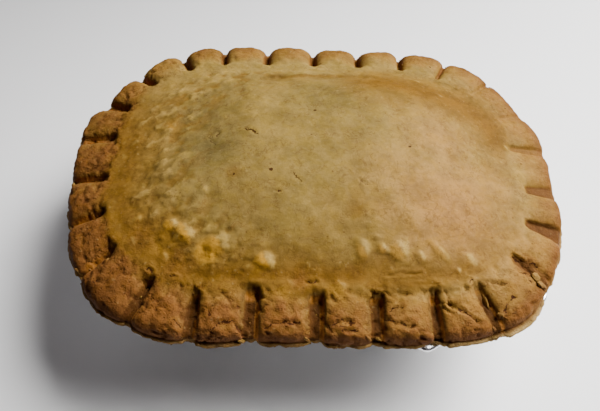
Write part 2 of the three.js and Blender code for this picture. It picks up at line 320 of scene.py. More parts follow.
# Edges where the lid drops inwards: line, drop, how far it rises again over, tone below and its strength; the
# tone below is painted shade, at the far crease partly glaze
STEPS = [
    ([(174, 122), (180, 106), (201, 95), (226, 83), (247, 77), (276, 74)], 0.6, 9.0, "olive_shade", 0.6),
    ([(276, 74), (300, 74.4), (335, 74.4), (358, 75), (371, 76.5)], 0.6, 3.5, "glaze_and_shade", 1.0),
]
STEP_WIDTH = 2.2
STEP_SHAPE = SimpleNamespace(end=(8, 0), lip=0.35, tone_width=0.5)
# Pinholes by pixel and radius, painted dark as the shade inside them
PINHOLES = [
    ((271, 169), 0.6), ((410, 146), 0.5), ((315, 110), 0.5), ((279, 191), 0.4), ((505, 108), 0.35),
    ((430, 67), 0.4), ((521, 164), 0.35), ((513, 297), 0.6), ((358, 137), 0.3), ((234, 174), 0.4),
]
PINHOLE_REACH = 3
# Patches of each tone: pixel, reach and strength
TONE_PATCHES = {
    # Blush: a pinker tone on the lid's right, partly its own and partly a painted sheen where the light is
    # reflected
    "blushed_sheen": [
        ((455, 215), 19, 0.95), ((440, 140), 12, 0.6), ((490, 190), 11, 0.6), ((400, 175), 13, 0.45),
    ],
    "glaze_and_shade": [
        ((158, 95), 9, 0.15), ((171, 126), 3.5, 0.9), ((166, 235), 7, 0.9), ((185, 272), 10, 0.9),
        ((358, 210), 3.5, 0.7), ((315, 233), 5, 0.4), ((234, 172), 2.6, 0.6), ((500, 262), 11, 0.55),
        ((498, 165), 9, 0.45), ((500, 205), 8, 0.35), ((474, 104), 9, 0.8), ((345, 225), 9, 0.25),
        ((250, 205), 10, 0.25),
    ],
    # Olive: a darker tone painted as shade in the lid's hollows and on its far slope
    "olive_shade": [
        ((208, 150), 13, 1.0), ((200, 115), 11, 0.9), ((200, 185), 8, 0.5), ((320, 155), 15, 0.35),
        ((248, 197), 15, 0.5), ((330, 92), 15, 0.8), ((350, 118), 13, 0.4), ((250, 75), 7, 0.4),
    ],
    # Honey tone: its own amber near the left margin, and painted shade on the unlit sides of the bigger
    # blisters
    "honey_and_shade": [
        ((165, 240), 5, 0.32), ((171, 127), 3, 0.3), ((339, 290), 3, 0.42), ((284, 293), 3.5, 0.3),
        ((207, 251), 3.2, 1.0), ((258, 266), 2, 0.5),
    ],
}
TONE_UNEVEN = 0.5
# Bands of glaze; the two along the lid's near foot are partly painted shade, and the last, under the lid's
# overhanging near right edge, is painted shade
GLAZE_BANDS = [
    ([(380, 82), (420, 90), (458, 104), (484, 120), (495, 138)], 12.0, 1.0),
    ([(134, 140), (118, 200), (132, 245), (180, 275)], 9.0, 0.95),
    ([(180, 274), (250, 275), (300, 276), (360, 277)], 5.0, 1.0),
    ([(360, 277), (430, 277), (480, 274)], 5.0, 0.9),
    ([(372, 284), (400, 286), (436, 285)], 3.6, 1.0),
]
BAND_UNEVEN = 0.6
# Glaze along the lid's near and left margin, and how far it reaches onto the crimps
GLAZE_MARGIN = SimpleNamespace(
    strength=0.88, insets=(31, 15), part=(50.0, 60.0, -0.1, 0.7), far_less=0.65, far_y=(8, 30),
)
GLAZE_REACH = SimpleNamespace(part=(50.0, 60.0, -0.1, 0.5), right_x=(10, 35), far_y=(0, 15))
BROWN_PATCHES = [
    ((140, 238), 6.0, 0.62), ((175, 268), 7.0, 0.6), ((300, 281), 4.0, 0.7), ((526, 268), 4.5, 0.95),
    ((539, 281), 3.5, 0.8), ((549, 206), 4.0, 0.7), ((553, 250), 4.0, 0.7), ((548, 232), 4.0, 0.95),
]
BROWN_UNEVEN = 0.6
# Crimps less browned than their neighbours, or more: place, reach and how much less
PALER_LOBES = [
    (-56.0, 40.0, 15.0, 0.55),
    (-68.0, 14.0, 12.0, 0.4),
    (-68.0, -8.0, 14.0, 0.25),
    (60.0, 30.0, 22.0, -0.18),
    (33.0, 52.0, 15.0, -0.28),
]
# How browned the rim is: shares by side, insets where the brown starts to fade and ends, a browner edge
BROWNING = SimpleNamespace(
    middle=0.79, left_slope=0.38 / 70, far_slope=0.12 / 53, near_more=0.1, near_y=(-20, -48),
    left_x=(-25, -55), left_y=(40, 15), far_y=(25, 45), start=4, left_start=9, far_start=1.5,
    end=17.5, far_end=13, wander=2.0, uneven=0.3, wall_less=0.2, wall_x=(25, -5),
    edge_more=0.55, edge=(6, 1), edge_x=(20, 60),
)
# The rim's outer faces are painted as shade: full brown and a greyer tone at the near left, paler towards the
# lit right
FACES = SimpleNamespace(
    start=(0.1, 0.6), paler=0.6, paler_part=(15, 60), paler_lean=0.3, shade_part=(45, 0),
)
# Floors and walls of the grooves, by side, with painted shade; a near groove's floor is shadowed right of its
# middle
FLOORS = SimpleNamespace(
    sunken=(0.3, 0.75), inner_less=0.3, inner=(6, 10.5), near_y=(-32, -44), right_x=(35, 55),
    right_y=(20, -5), right_brown=(0.1, 0.5), right_floor=(0.12, 0.36), right_strength=0.6, left_x=(-30, -55),
    left_strength=0.45, plain_strength=0.35, near_left_end=(-2.4, -1.3), shadow=(0.65, 1.2),
    shadowed_end=(9.6, 11), wall_foot=(0.2, 0.45), wall_top=(0.8, 0.55), wall_x=(-42, -20),
)
CRUMBLY_LEAST = 0.3
# Dark painted along the brow of the near left crimps, as shade
BROW_SHADE = SimpleNamespace(inset=(4.8, 3.2), wander=0.8, x=(-28, -48), y=(-10, -32), strength=0.5)
RAW_LIP = SimpleNamespace(least=0.45, more=0.55, spread=1.4)

# Places where the foil's edge shows, by pixel, and how far round them
FOIL_GLINTS = [
    ((541, 157), 5), ((487, 89), 4), ((398, 61), 4), ((108, 111), 4), ((140, 80), 3), ((541, 293), 11),
    ((551, 271), 6), ((428, 342), 9),
]
GLINT_DEPTH = 1.4
GLINT_REACH = 0.7

# Flakes by the pixels of their ends, width and thickness, and the scattered crumbs
FLAKES = [
    ((483, 294), (488, 309), 1.2, 0.6),
    ((498, 313), (503, 318), 1.6, 1.2),
    ((531, 275), (539, 281), 2.4, 1.6),
    ((536, 282), (545, 289), 2.0, 1.3),
    ((76, 268), (83, 275), 1.3, 0.9),
    ((69, 184), (74, 186), 1.3, 0.9),
    ((142, 74), (146, 77), 1.1, 0.8),
    ((109, 107), (113, 109), 1.1, 0.7),
    ((238, 340), (245, 341), 1.1, 0.8),
    ((304, 337), (309, 341), 0.9, 0.6),
    ((366, 336), (370, 341), 0.9, 0.6),
    ((376, 338), (381, 340), 0.9, 0.6),
    ((492, 327), (495, 331), 1.0, 0.8),
]
CRUMBS = SimpleNamespace(
    count=60, sizes=(0.3, 0.75), width=0.8, thickness=0.6, lift=0.2, on_lip=0.25, seed=5,
    lump_height=0.5, lump_size=0.7, lump_octaves=2, lump_shifts=(0, 50), subdivisions=2,
)

# Tones of the pastry, scene-linear
GOLDEN = (0.236, 0.155, 0.0405)
# Pinker tone, partly the pastry's own blush and partly a painted sheen on the lid's right
BLUSH_SHEEN = (0.27, 0.136, 0.04)
# Darker olive, painted as shade in the lid's hollows, on its far slope and below its far left step
OLIVE_SHADE = (0.112, 0.08, 0.0245)
AMBER = (0.131, 0.063, 0.0084)
# Honey: an amber of its own, also painted as shade on the blisters' unlit sides
HONEY = (0.43, 0.215, 0.02)
# Pale painted as a highlight on the blisters' lit sides and on the ruffles' crests
BLISTER_HIGHLIGHT = (0.36, 0.236, 0.068)
TOASTED = (0.2, 0.103, 0.022)
BROWN = (0.137, 0.055, 0.0135)
RAW = (0.31, 0.205, 0.078)
# Groove floors painted dark as shade: this tone where the floor lies in shadow, the next, darker one where
# the light reaches it
SHADED_FLOOR = (0.38, 0.15, 0.03)
LIT_FLOOR = (0.06, 0.024, 0.006)
# Darker tone painted on the near grooves' sunlit walls, to offset the light there
SUNLIT_WALL_SHADE = (0.115, 0.06, 0.016)
# Greyish brown painted as shade on the outer faces towards the near left
FACE_SHADE = (0.14, 0.058, 0.021)
PALE = (0.36, 0.26, 0.1)
DEEPER = (0.93, 0.9, 0.6)
SPECK = (0.06, 0.02, 0.005)
# Near black painted in the cracks and pinholes, as the shade inside them
CRACK_SHADE = (0.035, 0.011, 0.0035)
CRUMB_BROWN = (0.13, 0.055, 0.012)
CRUMB_PALE = (0.185, 0.1, 0.02)

# Masks stored on the crust's points
MASKS = (
    "glaze_and_shade", "blushed_sheen", "olive_shade", "honey_and_shade", "browned", "face_shade", "floor_shade", "shadowed", "flank",
    "crumbly", "split_and_brow_shade", "hole_near", "crack_near", "crack_side", "blister_highlight", "raw",
)
# Tones laid over the golden pastry in turn: mask, its range with the shares there, and the tone
BAKED_TONES = [
    ("blushed_sheen", None, BLUSH_SHEEN),
    ("olive_shade", None, OLIVE_SHADE),
    ("browned", (0, 0.5), TOASTED),
    ("glaze_and_shade", None, AMBER),
    ("honey_and_shade", (0.1, 0.8, 0, 0.86), HONEY),
    ("grainy blister highlight", (0.4, 1.1, 0, 0.85), BLISTER_HIGHLIGHT),
    ("browned", (0.35, 1), BROWN),
    ("flank", (0, 1, 0, 0.85), SUNLIT_WALL_SHADE),
    ("face_shade", None, FACE_SHADE),
    ("raw", None, RAW),
]
# Fine marks: random flecks, grain splits, veins and specks, and dark painted as shade in the cells' splits,
# along the near left brow, in the pinholes and along the cracks
FINE_MARKS = [
    ("Flecks", (0, 1, 0, 0.16), PALE),
    ("split", (0, 1, 0, 0.4), SPECK),
    ("Veins", (0, 1, 0, 0.3), SPECK),
    ("Specks", (0, 1, 0, 0.55), SPECK),
    ("split_and_brow_shade", (0.1, 0.9, 0, 0.85), SPECK),
    ("hole", (0, 1, 0, 0.95), CRACK_SHADE),
    ("crack", (0, 1, 0, 0.92), CRACK_SHADE),
]
PASTRY = SimpleNamespace(
    blister_grain=0.6, splits=(0.15, 0.8), hole=(0.62, 0.74), floor=(0.1, 0.9), deeper=(0.42, 0.62, 0, 0.55),
    mottle=(0.72, 1.32, 0.82, 1.2), roughness=(0, 1, 0.62, 0.48), specular=0.025,
    bump=(0, 1, 0.2, 0.55), split_depth=-1.0, crack_depth=-2.0,
)
PASTRY_BUMP = 0.3 * MM
CRUMB = SimpleNamespace(
    tones=(9.0, 1), tone_part=(0.4, 0.6), mottle=(0.65, 1.4, 0.75, 1.25), roughness=0.7, specular=0.08,
    bump=0.5,
)
# Fine grain: size, detail and distortion of its noises, the part of a noise that is kept, cells and lines
GRAIN_NOISES = {
    "patches": (6.0, 3), "grain": (1.2, 4, 0.6), "grit": (0.42, 3), "blotches": (2.8, 4, 0.8),
    "specked": (3.4, 2), "split line": (2.4, 4), "split": (1.7, 2), "pits": (1.0, 3),
    "vein line": (2.4, 5, 0.6), "veined": (4.0, 2),
}
GRAIN_KEPT = {
    "specked": (0.5, 0.62), "grain": (0.5, 0.68), "split": (0.5, 0.58), "pits": (0.6, 0.72),
    "veined": (0.4, 0.6),
}
SPECKS = SimpleNamespace(cell=2.6, edge=(0.13, 0.07))
FLECKS = SimpleNamespace(cell=1.3, edge=(0.4, 0.2))
SPLIT_LINE, VEIN_LINE = 0.018, 0.022
MOTTLE_SHARES = SimpleNamespace(grain=0.7, grit=0.35)
GRAIN_HEIGHT = 1.6
CRACK_LINE = SimpleNamespace(
    jags=(1.1, 4), jag=0.9, widths=(1.6, 2), width=(0.35, 0.65, 0.02, 0.24), end=(0.2, 0.5),
)
FOIL_LOOK = SimpleNamespace(
    dull=(0.72, 0.73, 0.75, 1), bright=(0.9, 0.91, 0.92, 1), rolling=(1.2, 3),
    roughness=(0.3, 0.7, 0.2, 0.36), crinkle=(2.4, 3, 1.0), bump=0.45, bump_height=0.4 * MM,
)

# Floor and light, in metres and watts: a light's place, target, width, height, energy and colour
FLOOR = SimpleNamespace(size=6, colour=(0.82, 0.82, 0.83, 1), roughness=0.6)
WORLD = SimpleNamespace(colour=(1.0, 0.66, 0.68, 1), strength=0.026)
LIGHT_SPREAD = math.radians(64)
LIGHTS = {
    "window": ((0.39, 0.19, 0.34), (0.16, -0.01, 0.02), 0.48, 0.5, 3.65, (1.0, 0.99, 0.97)),
    "room": ((-0.3, 0.36, 0.26), (-0.13, 0.0, 0), 0.3, 0.3, 0.09, (0.97, 0.98, 1.0)),
    "low card": ((0.05, -0.42, 0.01), (0.0, 0, 0.025), 0.5, 0.016, 0.004, (1.0, 0.75, 0.68)),
}


def smoothstep(low, high, value):
    share = np.clip((value - low) / (high - low), 0, 1)
    return share * share * (3 - 2 * share)


def lerp(a, b, share):
    return a + (b - a) * share


def near_spot(x, y, spot_x, spot_y, reach):
    """Share from 1 at the spot to 0 well beyond its reach."""
    return np.exp(-((x - spot_x) ** 2 + (y - spot_y) ** 2) / reach ** 2)


def bell(away, lumpy=0.0):
    """Share from 1 in the middle to 0 well past one reach away, the edge made uneven by lumps."""
    return np.exp(-(away ** 2) * (1 + lumpy))


def spot_sum(x, y, spots):
    """What the spots add up to: each has a place, a reach and what it adds in its middle."""
    return sum(more * near_spot(x, y, *spot) for *spot, more in spots)


def uneven(number, what):
    """By how much a crimp or groove differs from the rest in one way, the same at every run."""
    channel = list(vars(UNEVEN)).index(what)
    wave = np.sin((number + 1) * SCATTER.step + channel * SCATTER.channel) * SCATTER.scale
    return getattr(UNEVEN, what) * (2 * (wave - np.floor(wave)) - 1)


# Shape of the crust

CORNER_X = PIE_LENGTH / 2 - CORNER_RADIUS
CORNER_Y = PIE_WIDTH / 2 - CORNER_RADIUS
EDGE_RADIUS = CORNER_RADIUS - EDGE_INSET
QUARTER = CORNER_X + EDGE_RADIUS * math.pi / 2 + CORNER_Y


def plan_line(distance):
    """Points of the edge line and its outward directions, by distance from the near side's middle."""
    half_turn = np.mod(distance, 2 * QUARTER)
    far = half_turn > QUARTER
    along = np.where(far, 2 * QUARTER - half_turn, half_turn)
    angle = np.clip((along - CORNER_X) / EDGE_RADIUS, 0, math.pi / 2)
    past_arc = np.maximum(along - CORNER_X - EDGE_RADIUS * math.pi / 2, 0)
    x = np.minimum(along, CORNER_X) + EDGE_RADIUS * np.sin(angle)
    y = -CORNER_Y - EDGE_RADIUS * np.cos(angle) + past_arc
    out_x = np.sin(angle)
    out_y = -np.cos(angle)
    mirror = np.where(far, -1.0, 1.0)
    turned = np.where(np.mod(distance, 4 * QUARTER) >= 2 * QUARTER, -1.0, 1.0)
    return x * turned, y * mirror * turned, out_x * turned, out_y * mirror * turned


def groove_rows():
    """The grooves round the whole edge, the stops of one quarter mirrored into the other three."""
    mirrored = [2 * QUARTER - stop for stop in reversed(GROOVE_STOPS[1:])]
    half = np.array(GROOVE_STOPS + mirrored)
    stops = np.concatenate([half, half + 2 * QUARTER])
    number = np.arange(len(stops))
    x, y, _, _ = plan_line(stops)
    wider = spot_sum(x, y, [(*spot, wider) for *spot, wider, _ in GROOVE_SPOTS])
    deeper = spot_sum(x, y, [(*spot, deeper) for *spot, _, deeper in GROOVE_SPOTS])
    shift = np.array([GROOVE_SHIFTS.get(groove, 0) for groove in number])
    return SimpleNamespace(
        stop=stops + uneven(number, "spacing") + shift,
        widening=(1 + uneven(number, "width")) * (1 + wider),
        taper=lerp(1, OPEN_TAPER, np.clip(wider, 0, 1)),
        end=CRIMP_LENGTH + uneven(number, "length"),
        depth=1 + FAR_DEEPER * smoothstep(*FAR_SIDE, y) + deeper,
        tall=1 + uneven(number, "height"),
        reach=uneven(number, "reach"),
        count=len(stops),
    )


GROOVES = groove_rows()


def rim_columns(turn, crowding=CROWDING):
    """What the rim is like at each turn (0 to 1) round it, crowded towards the grooves."""
    place = np.mod(turn, 1.0) * GROOVES.count
    crimp = np.minimum(place.astype(int), GROOVES.count - 1)
    share = place - crimp
    share = share - crowding * np.sin(2 * math.pi * share) / (2 * math.pi)
    after = (crimp + 1) % GROOVES.count
    pitch = np.mod(GROOVES.stop[after] - GROOVES.stop[crimp], 4 * QUARTER)
    right_of_groove = share < 0.5
    nearest = np.where(right_of_groove, crimp, after)
    away = np.minimum(share, 1 - share) * pitch
    x, y, out_x, out_y = plan_line(GROOVES.stop[crimp] + share * pitch)
    far = smoothstep(*FAR_SIDE, y)
    near = smoothstep(*NEAR_SIDE, y)
    near_floor = np.where(right_of_groove, FLOOR_SHARES[1], FLOOR_SHARES[0])
    near_square = np.where(right_of_groove, NEAR_SQUARENESS, RIGHT_SHOULDER)
    square = lerp(FAR_SQUARENESS, LEFT_SQUARENESS, smoothstep(*LEFT_SIDE, x))
    widening = GROOVES.widening[nearest] * lerp(1, near_floor, near) * lerp(1, FAR_FLOOR, far)
    column = SimpleNamespace(
        x=x, y=y, out_x=out_x, out_y=out_y, away=away, half=pitch / 2, near=near,
        past=np.where(right_of_groove, away, -away),
        floor=GROOVE_FLOOR_WIDTH / 2 * widening,
        taper=GROOVES.taper[nearest],
        square=lerp(square, near_square, near),
        bulge=spot_sum(x, y, EDGE_BULGES),
        tall=GROOVES.tall[crimp] * (1 + FAR_TALLER * far),
        reach=GROOVES.reach[crimp],
        groove_end=GROOVES.end[nearest],
        groove_depth=GROOVES.depth[nearest],
    )
    column.loaf = loaf(column, 0)
    column.bite = (NOTCH + FAR_NOTCH * far) * (1 - column.loaf) * column.groove_depth
    return column


def loaf(column, inset):
    """Share of a crimp's full height, 0 on the floor of a groove, which may narrow inwards."""
    floor = column.floor * lerp(1, column.taper, np.clip(inset / CRIMP_LENGTH, 0, 1))
    up = np.clip((column.away - floor) / (column.half - floor), 0, 1)
    return (1 - (1 - up) ** column.square) ** (1 / column.square)


def grooved(column, inset):
    """Share of a groove's full depth at an inset, 1 in its middle and 0 on a crimp or past its end."""
    wall = GROOVE_END_WALL / 2
    before_end = 1 - smoothstep(column.groove_end - wall, column.groove_end + wall, inset)
    return (1 - loaf(column, inset)) * before_end


def crown_height(inset):
    return CROWN_FOOT + CROWN_SLOPE * inset - BROW_DROP * np.exp(-inset / BROW_LENGTH)


def rim_height(column, inset):
    """Height of the rim's top above the flange."""
    crown = crown_height(inset) * lerp(column.tall, 1, smoothstep(BROW_INSET, LID_EDGE, inset))
    floor = GROOVE_FLOOR + GROOVE_FLOOR_RISE * inset / CRIMP_LENGTH
    floor = lerp(crown, floor, column.groove_depth)
    return lerp(crown, floor, grooved(column, inset))


def lid_height(x, y, share):
    """Height of the lid above the flange: a dome with a soft foot, and the swells over it."""
    dome = LID_RISE * (1 - share ** LID_ROUNDNESS)
    dome = np.maximum(dome + spot_sum(x, y, LID_SWELLS) * (1 - share ** SWELL_FADE), 0)
    return crown_height(LID_EDGE) + dome - LID_FOOT * (1 - np.exp(-dome / LID_FOOT))


def rim_place(column, inset, height):
    """Points of the columns at an inset and a height above the flange."""
    reach = EDGE_INSET - inset + column.bulge * smoothstep(*BULGE_FADE, inset)
    x = column.x + column.out_x * reach
    y = column.y + column.out_y * reach
    return np.stack(np.broadcast_arrays(x, y, FLANGE_TOP + height), axis=-1)


def top_ring(inset):
    """The rim's top, drawn in where a groove bites into its edge."""
    drawn = 1 - smoothstep(BROW_INSET, CRIMP_LENGTH, inset)
    return lambda column: (inset + drawn * column.bite, rim_height(column, inset))


def face_ring(degrees):
    """The rim's outer face, a quarter of a rounded square from the brow down to the lip."""
    angle = math.radians(degrees)
    out = math.sin(angle) ** (2 / FACE_ROUNDNESS)
    up = math.cos(angle) ** (2 / FACE_ROUNDNESS)
    inset = lerp(BROW_INSET, FACE_FOOT_INSET, out)

    def ring(column):
        height = lerp(LIP_THICKNESS, rim_height(column, inset), up)
        return inset + column.reach * column.loaf + column.bite, height

    return ring


def lip_ring(inset, thickness_share):
    """The lip of base pastry, spread out at one corner and notched below the grooves."""
    def ring(column):
        spread = LIP_SPREAD.more * near_spot(column.x, column.y, *LIP_SPREAD.spot)
        notched = LIP_NOTCHES.more * near_spot(column.x, column.y, *LIP_NOTCHES.spot)
        notch = LIP_BITE * column.bite + notched * (1 - column.loaf)
        return inset - spread + notch, LIP_THICKNESS * thickness_share

    return ring


def level_ring(inset, z):
    return lambda column: (inset, z - FLANGE_TOP)


CRUST_RINGS = [
    *[top_ring(inset) for inset in np.linspace(LID_EDGE, BROW_INSET, TOP_RINGS)],
    *[face_ring(degrees) for degrees in np.linspace(90 / FACE_RINGS, 90, FACE_RINGS)],
    *[lip_ring(inset, share) for inset, share in LIP_PROFILE],
    level_ring(BODY_TOP, FLANGE_TOP),
    level_ring(BODY_TOP + BODY_SHOULDER.inset, FLANGE_TOP - BODY_SHOULDER.drop),
    level_ring(BODY_TOP + WALL_DRAFT, BODY_BASE + FOOT_RADIUS),
    level_ring(BODY_TOP + WALL_DRAFT + FOOT_RADIUS, BODY_BASE),
]


# Modelling helpers

def deselect_all():
    if bpy.context.object and bpy.context.object.mode != "OBJECT":
        bpy.ops.object.mode_set(mode="OBJECT")
    bpy.ops.object.select_all(action="DESELECT")


def read_points(piece):
    flat = np.empty(len(piece.data.vertices) * 3)
    piece.data.vertices.foreach_get("co", flat)
    return flat.reshape(-1, 3)


def write_points(piece, points):
    piece.data.vertices.foreach_set("co", points.ravel())
    piece.data.update()


def read_normals(piece):
    flat = np.empty(len(piece.data.vertices) * 3)
    piece.data.vertex_normals.foreach_get("vector", flat)
    return flat.reshape(-1, 3)


def paint(piece, name, values):
    """Stores a mask on the piece's points for its material."""
    layer = piece.data.attributes.new(name, "FLOAT", "POINT")
    layer.data.foreach_set("value", np.clip(values, 0, 1).astype(np.float32))


def select_points(piece, chosen):
    """Selects the chosen points and the edges between them, for the next edit-mode operator."""
    mesh = piece.data
    ends = np.empty(len(mesh.edges) * 2, dtype=np.int32)
    mesh.edges.foreach_get("vertices", ends)
    mesh.vertices.foreach_set("select", chosen)
    mesh.edges.foreach_set("select", chosen[ends.reshape(-1, 2)].all(axis=1))
    mesh.polygons.foreach_set("select", np.zeros(len(mesh.polygons), dtype=bool))


def ringed_disc(name, columns, rings, middle):
    """A flat circle extruded outwards ring by ring, left in edit mode with its last ring selected."""
    deselect_all()
    bpy.ops.mesh.primitive_circle_add(vertices=columns, radius=1, fill_type=middle)
    piece = bpy.context.object
    piece.name = name
    bpy.ops.object.mode_set(mode="EDIT")
    bpy.ops.mesh.select_mode(type="EDGE")
    bpy.ops.mesh.select_all(action="SELECT")
    if middle != "NOTHING":
        bpy.ops.mesh.region_to_loop()
    for ring in range(rings - 1):
        wider = (1 + RING_STEP * (ring + 1)) / (1 + RING_STEP * ring)
        bpy.ops.mesh.extrude_edges_move()
        bpy.ops.transform.resize(value=(wider, wider, 1), center_override=(0, 0, 0))
    return piece


def disc_places(flat):
    """Radius of each point of a flat disc, and its turn (0 to 1) from the near side's middle."""
    radius = np.hypot(flat[:, 0], flat[:, 1])
    turn = np.mod(np.arctan2(flat[:, 0], -flat[:, 1]) / (2 * math.pi), 1)
    return radius, turn


def turn_faces(inside=False):
    bpy.ops.object.mode_set(mode="EDIT")
    bpy.ops.mesh.select_all(action="SELECT")
    bpy.ops.mesh.normals_make_consistent(inside=inside)
    bpy.ops.object.mode_set(mode="OBJECT")


def clumps(points, size, octaves, shift):
    """Fractal noise at the points, about -1 to 1, with lumps of the given size."""
    scaled = (points / size + shift).tolist()
    heights = (noise.fractal(p, OCTAVES.weaker, OCTAVES.finer, octaves) for p in scaled)
    return np.fromiter(heights, float, len(scaled))


def cell_borders(points, size):
    """How far each point is from the borders of the cells round it, as a share of a cell."""
    scaled = (points / size).tolist()
    gaps = (noise.voronoi(p)[0] for p in scaled)
    return np.fromiter((near[1] - near[0] for near in gaps), float, len(scaled))


# Places read off the photo, found again on the model

def photo_ray(pixel):
    across, down = pixel
    ray = CAMERA_RIGHT * (across - IMAGE_WIDTH / 2) - CAMERA_UP * (down - IMAGE_HEIGHT / 2)
    return ray - CAMERA_BACK * FOCAL_PIXELS


def photo_finder(piece):
    """A function that gives the point (mm) and normal of the piece which a pixel of the photo shows."""
    tree = BVHTree.FromObject(piece, bpy.context.evaluated_depsgraph_get())
    eye = Vector(CAMERA_PLACE * MM)

    def find(pixel):
        inward = (PIE_MIDDLE - pixel) / np.linalg.norm(PIE_MIDDLE - pixel)
        for step in range(OUTLINE_SLACK):
            ray = Vector(photo_ray(pixel + step * inward)).normalized()
            place, normal, _, _ = tree.ray_cast(eye, ray)
            if place is not None:
                return np.array(place) / MM, np.array(normal)
        raise ValueError(f"pixel {pixel} shows nothing of {piece.name}")

    return find


def line_gap(points, stops, up=(0, 0, 1)):
    """Each point's distance from the line through the stops, its side of it and how far past its ends."""
    gap = np.full(len(points), np.inf)
    side = np.zeros(len(points))
    past = np.zeros(len(points))
    for start, end in zip(stops, stops[1:]):
        leg = end - start
        length = np.linalg.norm(leg)
        share = (points - start) @ leg / length ** 2
        away = np.linalg.norm(points - start - np.clip(share, 0, 1)[:, None] * leg, axis=1)
        nearer = away < gap
        gap = np.where(nearer, away, gap)
        side = np.where(nearer, (points - start) @ np.cross(up, leg / length), side)
        before = -share * length if start is stops[0] else 0
        after = (share - 1) * length if end is stops[-1] else 0
        past = np.where(nearer, np.maximum(np.maximum(before, after), 0), past)
    return gap, side, past


def photo_line(find, pixels):
    return [find(pixel)[0] for pixel in pixels]


# Crust

def crust_template():
    """A flat disc of rings round a grid, with one more ring drawn together under it."""
    columns = GROOVES.count * COLUMNS_PER_CRIMP
    piece = ringed_disc("pie_crust", columns, len(CRUST_RINGS), "NOTHING")
    bpy.ops.mesh.extrude_edges_move()
    bpy.ops.transform.translate(value=(0, 0, -POLE_DROP))
    bpy.ops.mesh.merge(type="CENTER")
    bpy.ops.object.mode_set(mode="OBJECT")
    points = read_points(piece)
    radius, _ = disc_places(points)
    select_points(piece, np.abs(radius - 1) < RING_STEP / 2)
    bpy.ops.object.mode_set(mode="EDIT")
    bpy.ops.mesh.fill_grid(span=columns // 4, offset=GRID_OFFSET)
    bpy.ops.object.mode_set(mode="OBJECT")
    return piece, len(points)


def press_crust(piece, rim_points):
    """Moves every point of the template to its place on the pie, and returns what is known of it."""
    flat = read_points(piece)
    radius, turn = disc_places(flat)
    pole = flat[:, 2] < -POLE_DROP / 2
    lid = np.arange(len(flat)) >= rim_points
    ring_number = np.round((radius - 1) / RING_STEP).astype(int)
    ring_number[lid] = -1
    ring_number[pole] = len(CRUST_RINGS)
    points = np.zeros_like(flat)
    inset = np.full(len(flat), LID_EDGE)
    for number, ring in enumerate(CRUST_RINGS):
        chosen = ring_number == number
        column = rim_columns(turn[chosen])
        ring_inset, height = ring(column)
        points[chosen] = rim_place(column, ring_inset, height)
        inset[chosen] = ring_inset
    share = np.minimum(radius[lid], 1)
    column = rim_columns(turn[lid], CROWDING * share ** CROWDING_FADE)
    edge = rim_place(column, LID_EDGE, 0)
    x = edge[:, 0] * share
    y = edge[:, 1] * share
    points[lid] = np.stack([x, y, FLANGE_TOP + lid_height(x, y, share)], axis=-1)
    inset[lid] = LID_EDGE + (1 - share) * (PIE_WIDTH / 2 - LID_EDGE)
    points[pole] = (0, 0, BODY_BASE)
    write_points(piece, points * MM)
    column = rim_columns(turn)
    lip_start = TOP_RINGS + FACE_RINGS
    lip_end = lip_start + len(LIP_PROFILE)
    return SimpleNamespace(
        points=points, inset=inset, lid=lid, column=column,
        shown=ring_number < lip_end,
        lip=(ring_number >= lip_start) & (ring_number < lip_end),
        face=(ring_number >= TOP_RINGS) & (ring_number < lip_start),
        face_share=np.clip((ring_number - TOP_RINGS + 1) / FACE_RINGS, 0, 1),
        groove=np.where(lid, 0, grooved(column, inset) * column.groove_depth),
    )


def near_left(known, span_x, span_y, start, full):
    """Share that grows towards the near left corner, its start and full given in spans."""
    return smoothstep(start, full, -known.x / span_x - known.y / span_y)


def gap_from(known, place):
    return np.linalg.norm(known.points - place, axis=1)


def strengthen(known, name, values):
    known.masks[name] = np.maximum(known.masks[name], values)


def know_surface(known):
    """Adds the noises of the crust to what is known of its points, and where each kind of surface lies."""
    points, inset = known.points, known.inset
    known.x, known.y = points[:, 0], points[:, 1]
    known.masks = {name: np.zeros(len(points)) for name in MASKS}
    known.broad = clumps(points, *BROAD)
    known.middling = clumps(points, *MIDDLING)
    known.fine = clumps(points, *FINE)
    wanders = [clumps(points, WANDER.size, WANDER.octaves, WANDER.shift * axis) for axis in range(3)]
    known.wander = np.stack(wanders, axis=-1)
    known.crimped = smoothstep(*CRIMPS_END, inset + EDGE_WANDER * known.broad)
    known.lobed = smoothstep(*LOBES_END, inset + EDGE_WANDER * known.broad)
    known.crumbly = known.crimped * near_left(known, *CRUMBLY_PART)
    known.walls = 4 * known.groove * (1 - np.minimum(known.groove, 1))
    known.along = known.x * math.cos(CREASE_TURN) + known.y * math.sin(CREASE_TURN)
    known.across = known.y * math.cos(CREASE_TURN) - known.x * math.sin(CREASE_TURN)
    ruffles = np.stack([known.along / RUFFLES.stretch, known.across, 0 * known.x], axis=-1)
    known.lumpy = clumps(ruffles + RUFFLES.wander * known.wander, *RUFFLES.lumps)
    lean = -known.x / RUFFLES.left_span + RUFFLES.corner_share * np.abs(known.y)
    ruffled = smoothstep(*RUFFLES.outer, inset) * smoothstep(*RUFFLES.inner, inset)
    known.wrinkled = ruffled * smoothstep(*RUFFLES.part, lean) * known.lid


def roughen(known):
    """Uneven all over, creased on the lid, rougher on crumbly crimps and calmer on the grooves' walls."""
    known.rise = BROAD_HEIGHT * known.broad
    known.rise += lerp(*MIDDLING_HEIGHTS, known.crimped) * known.middling
    known.rise += lerp(*FINE_HEIGHTS, known.crimped) * known.fine
    flat = np.stack([known.along / CREASES.length, known.across / CREASES.width, 0 * known.x], axis=-1)
    creased = clumps(flat, *CREASES.lumps) * known.lid * smoothstep(*CREASES.part, known.x)
    known.rise += CREASES.height * creased
    known.rise += CRUMBLY_HEIGHT * known.crumbly * known.middling
    known.rise *= 1 - WALL_CALM * np.clip(known.walls, 0, 1)


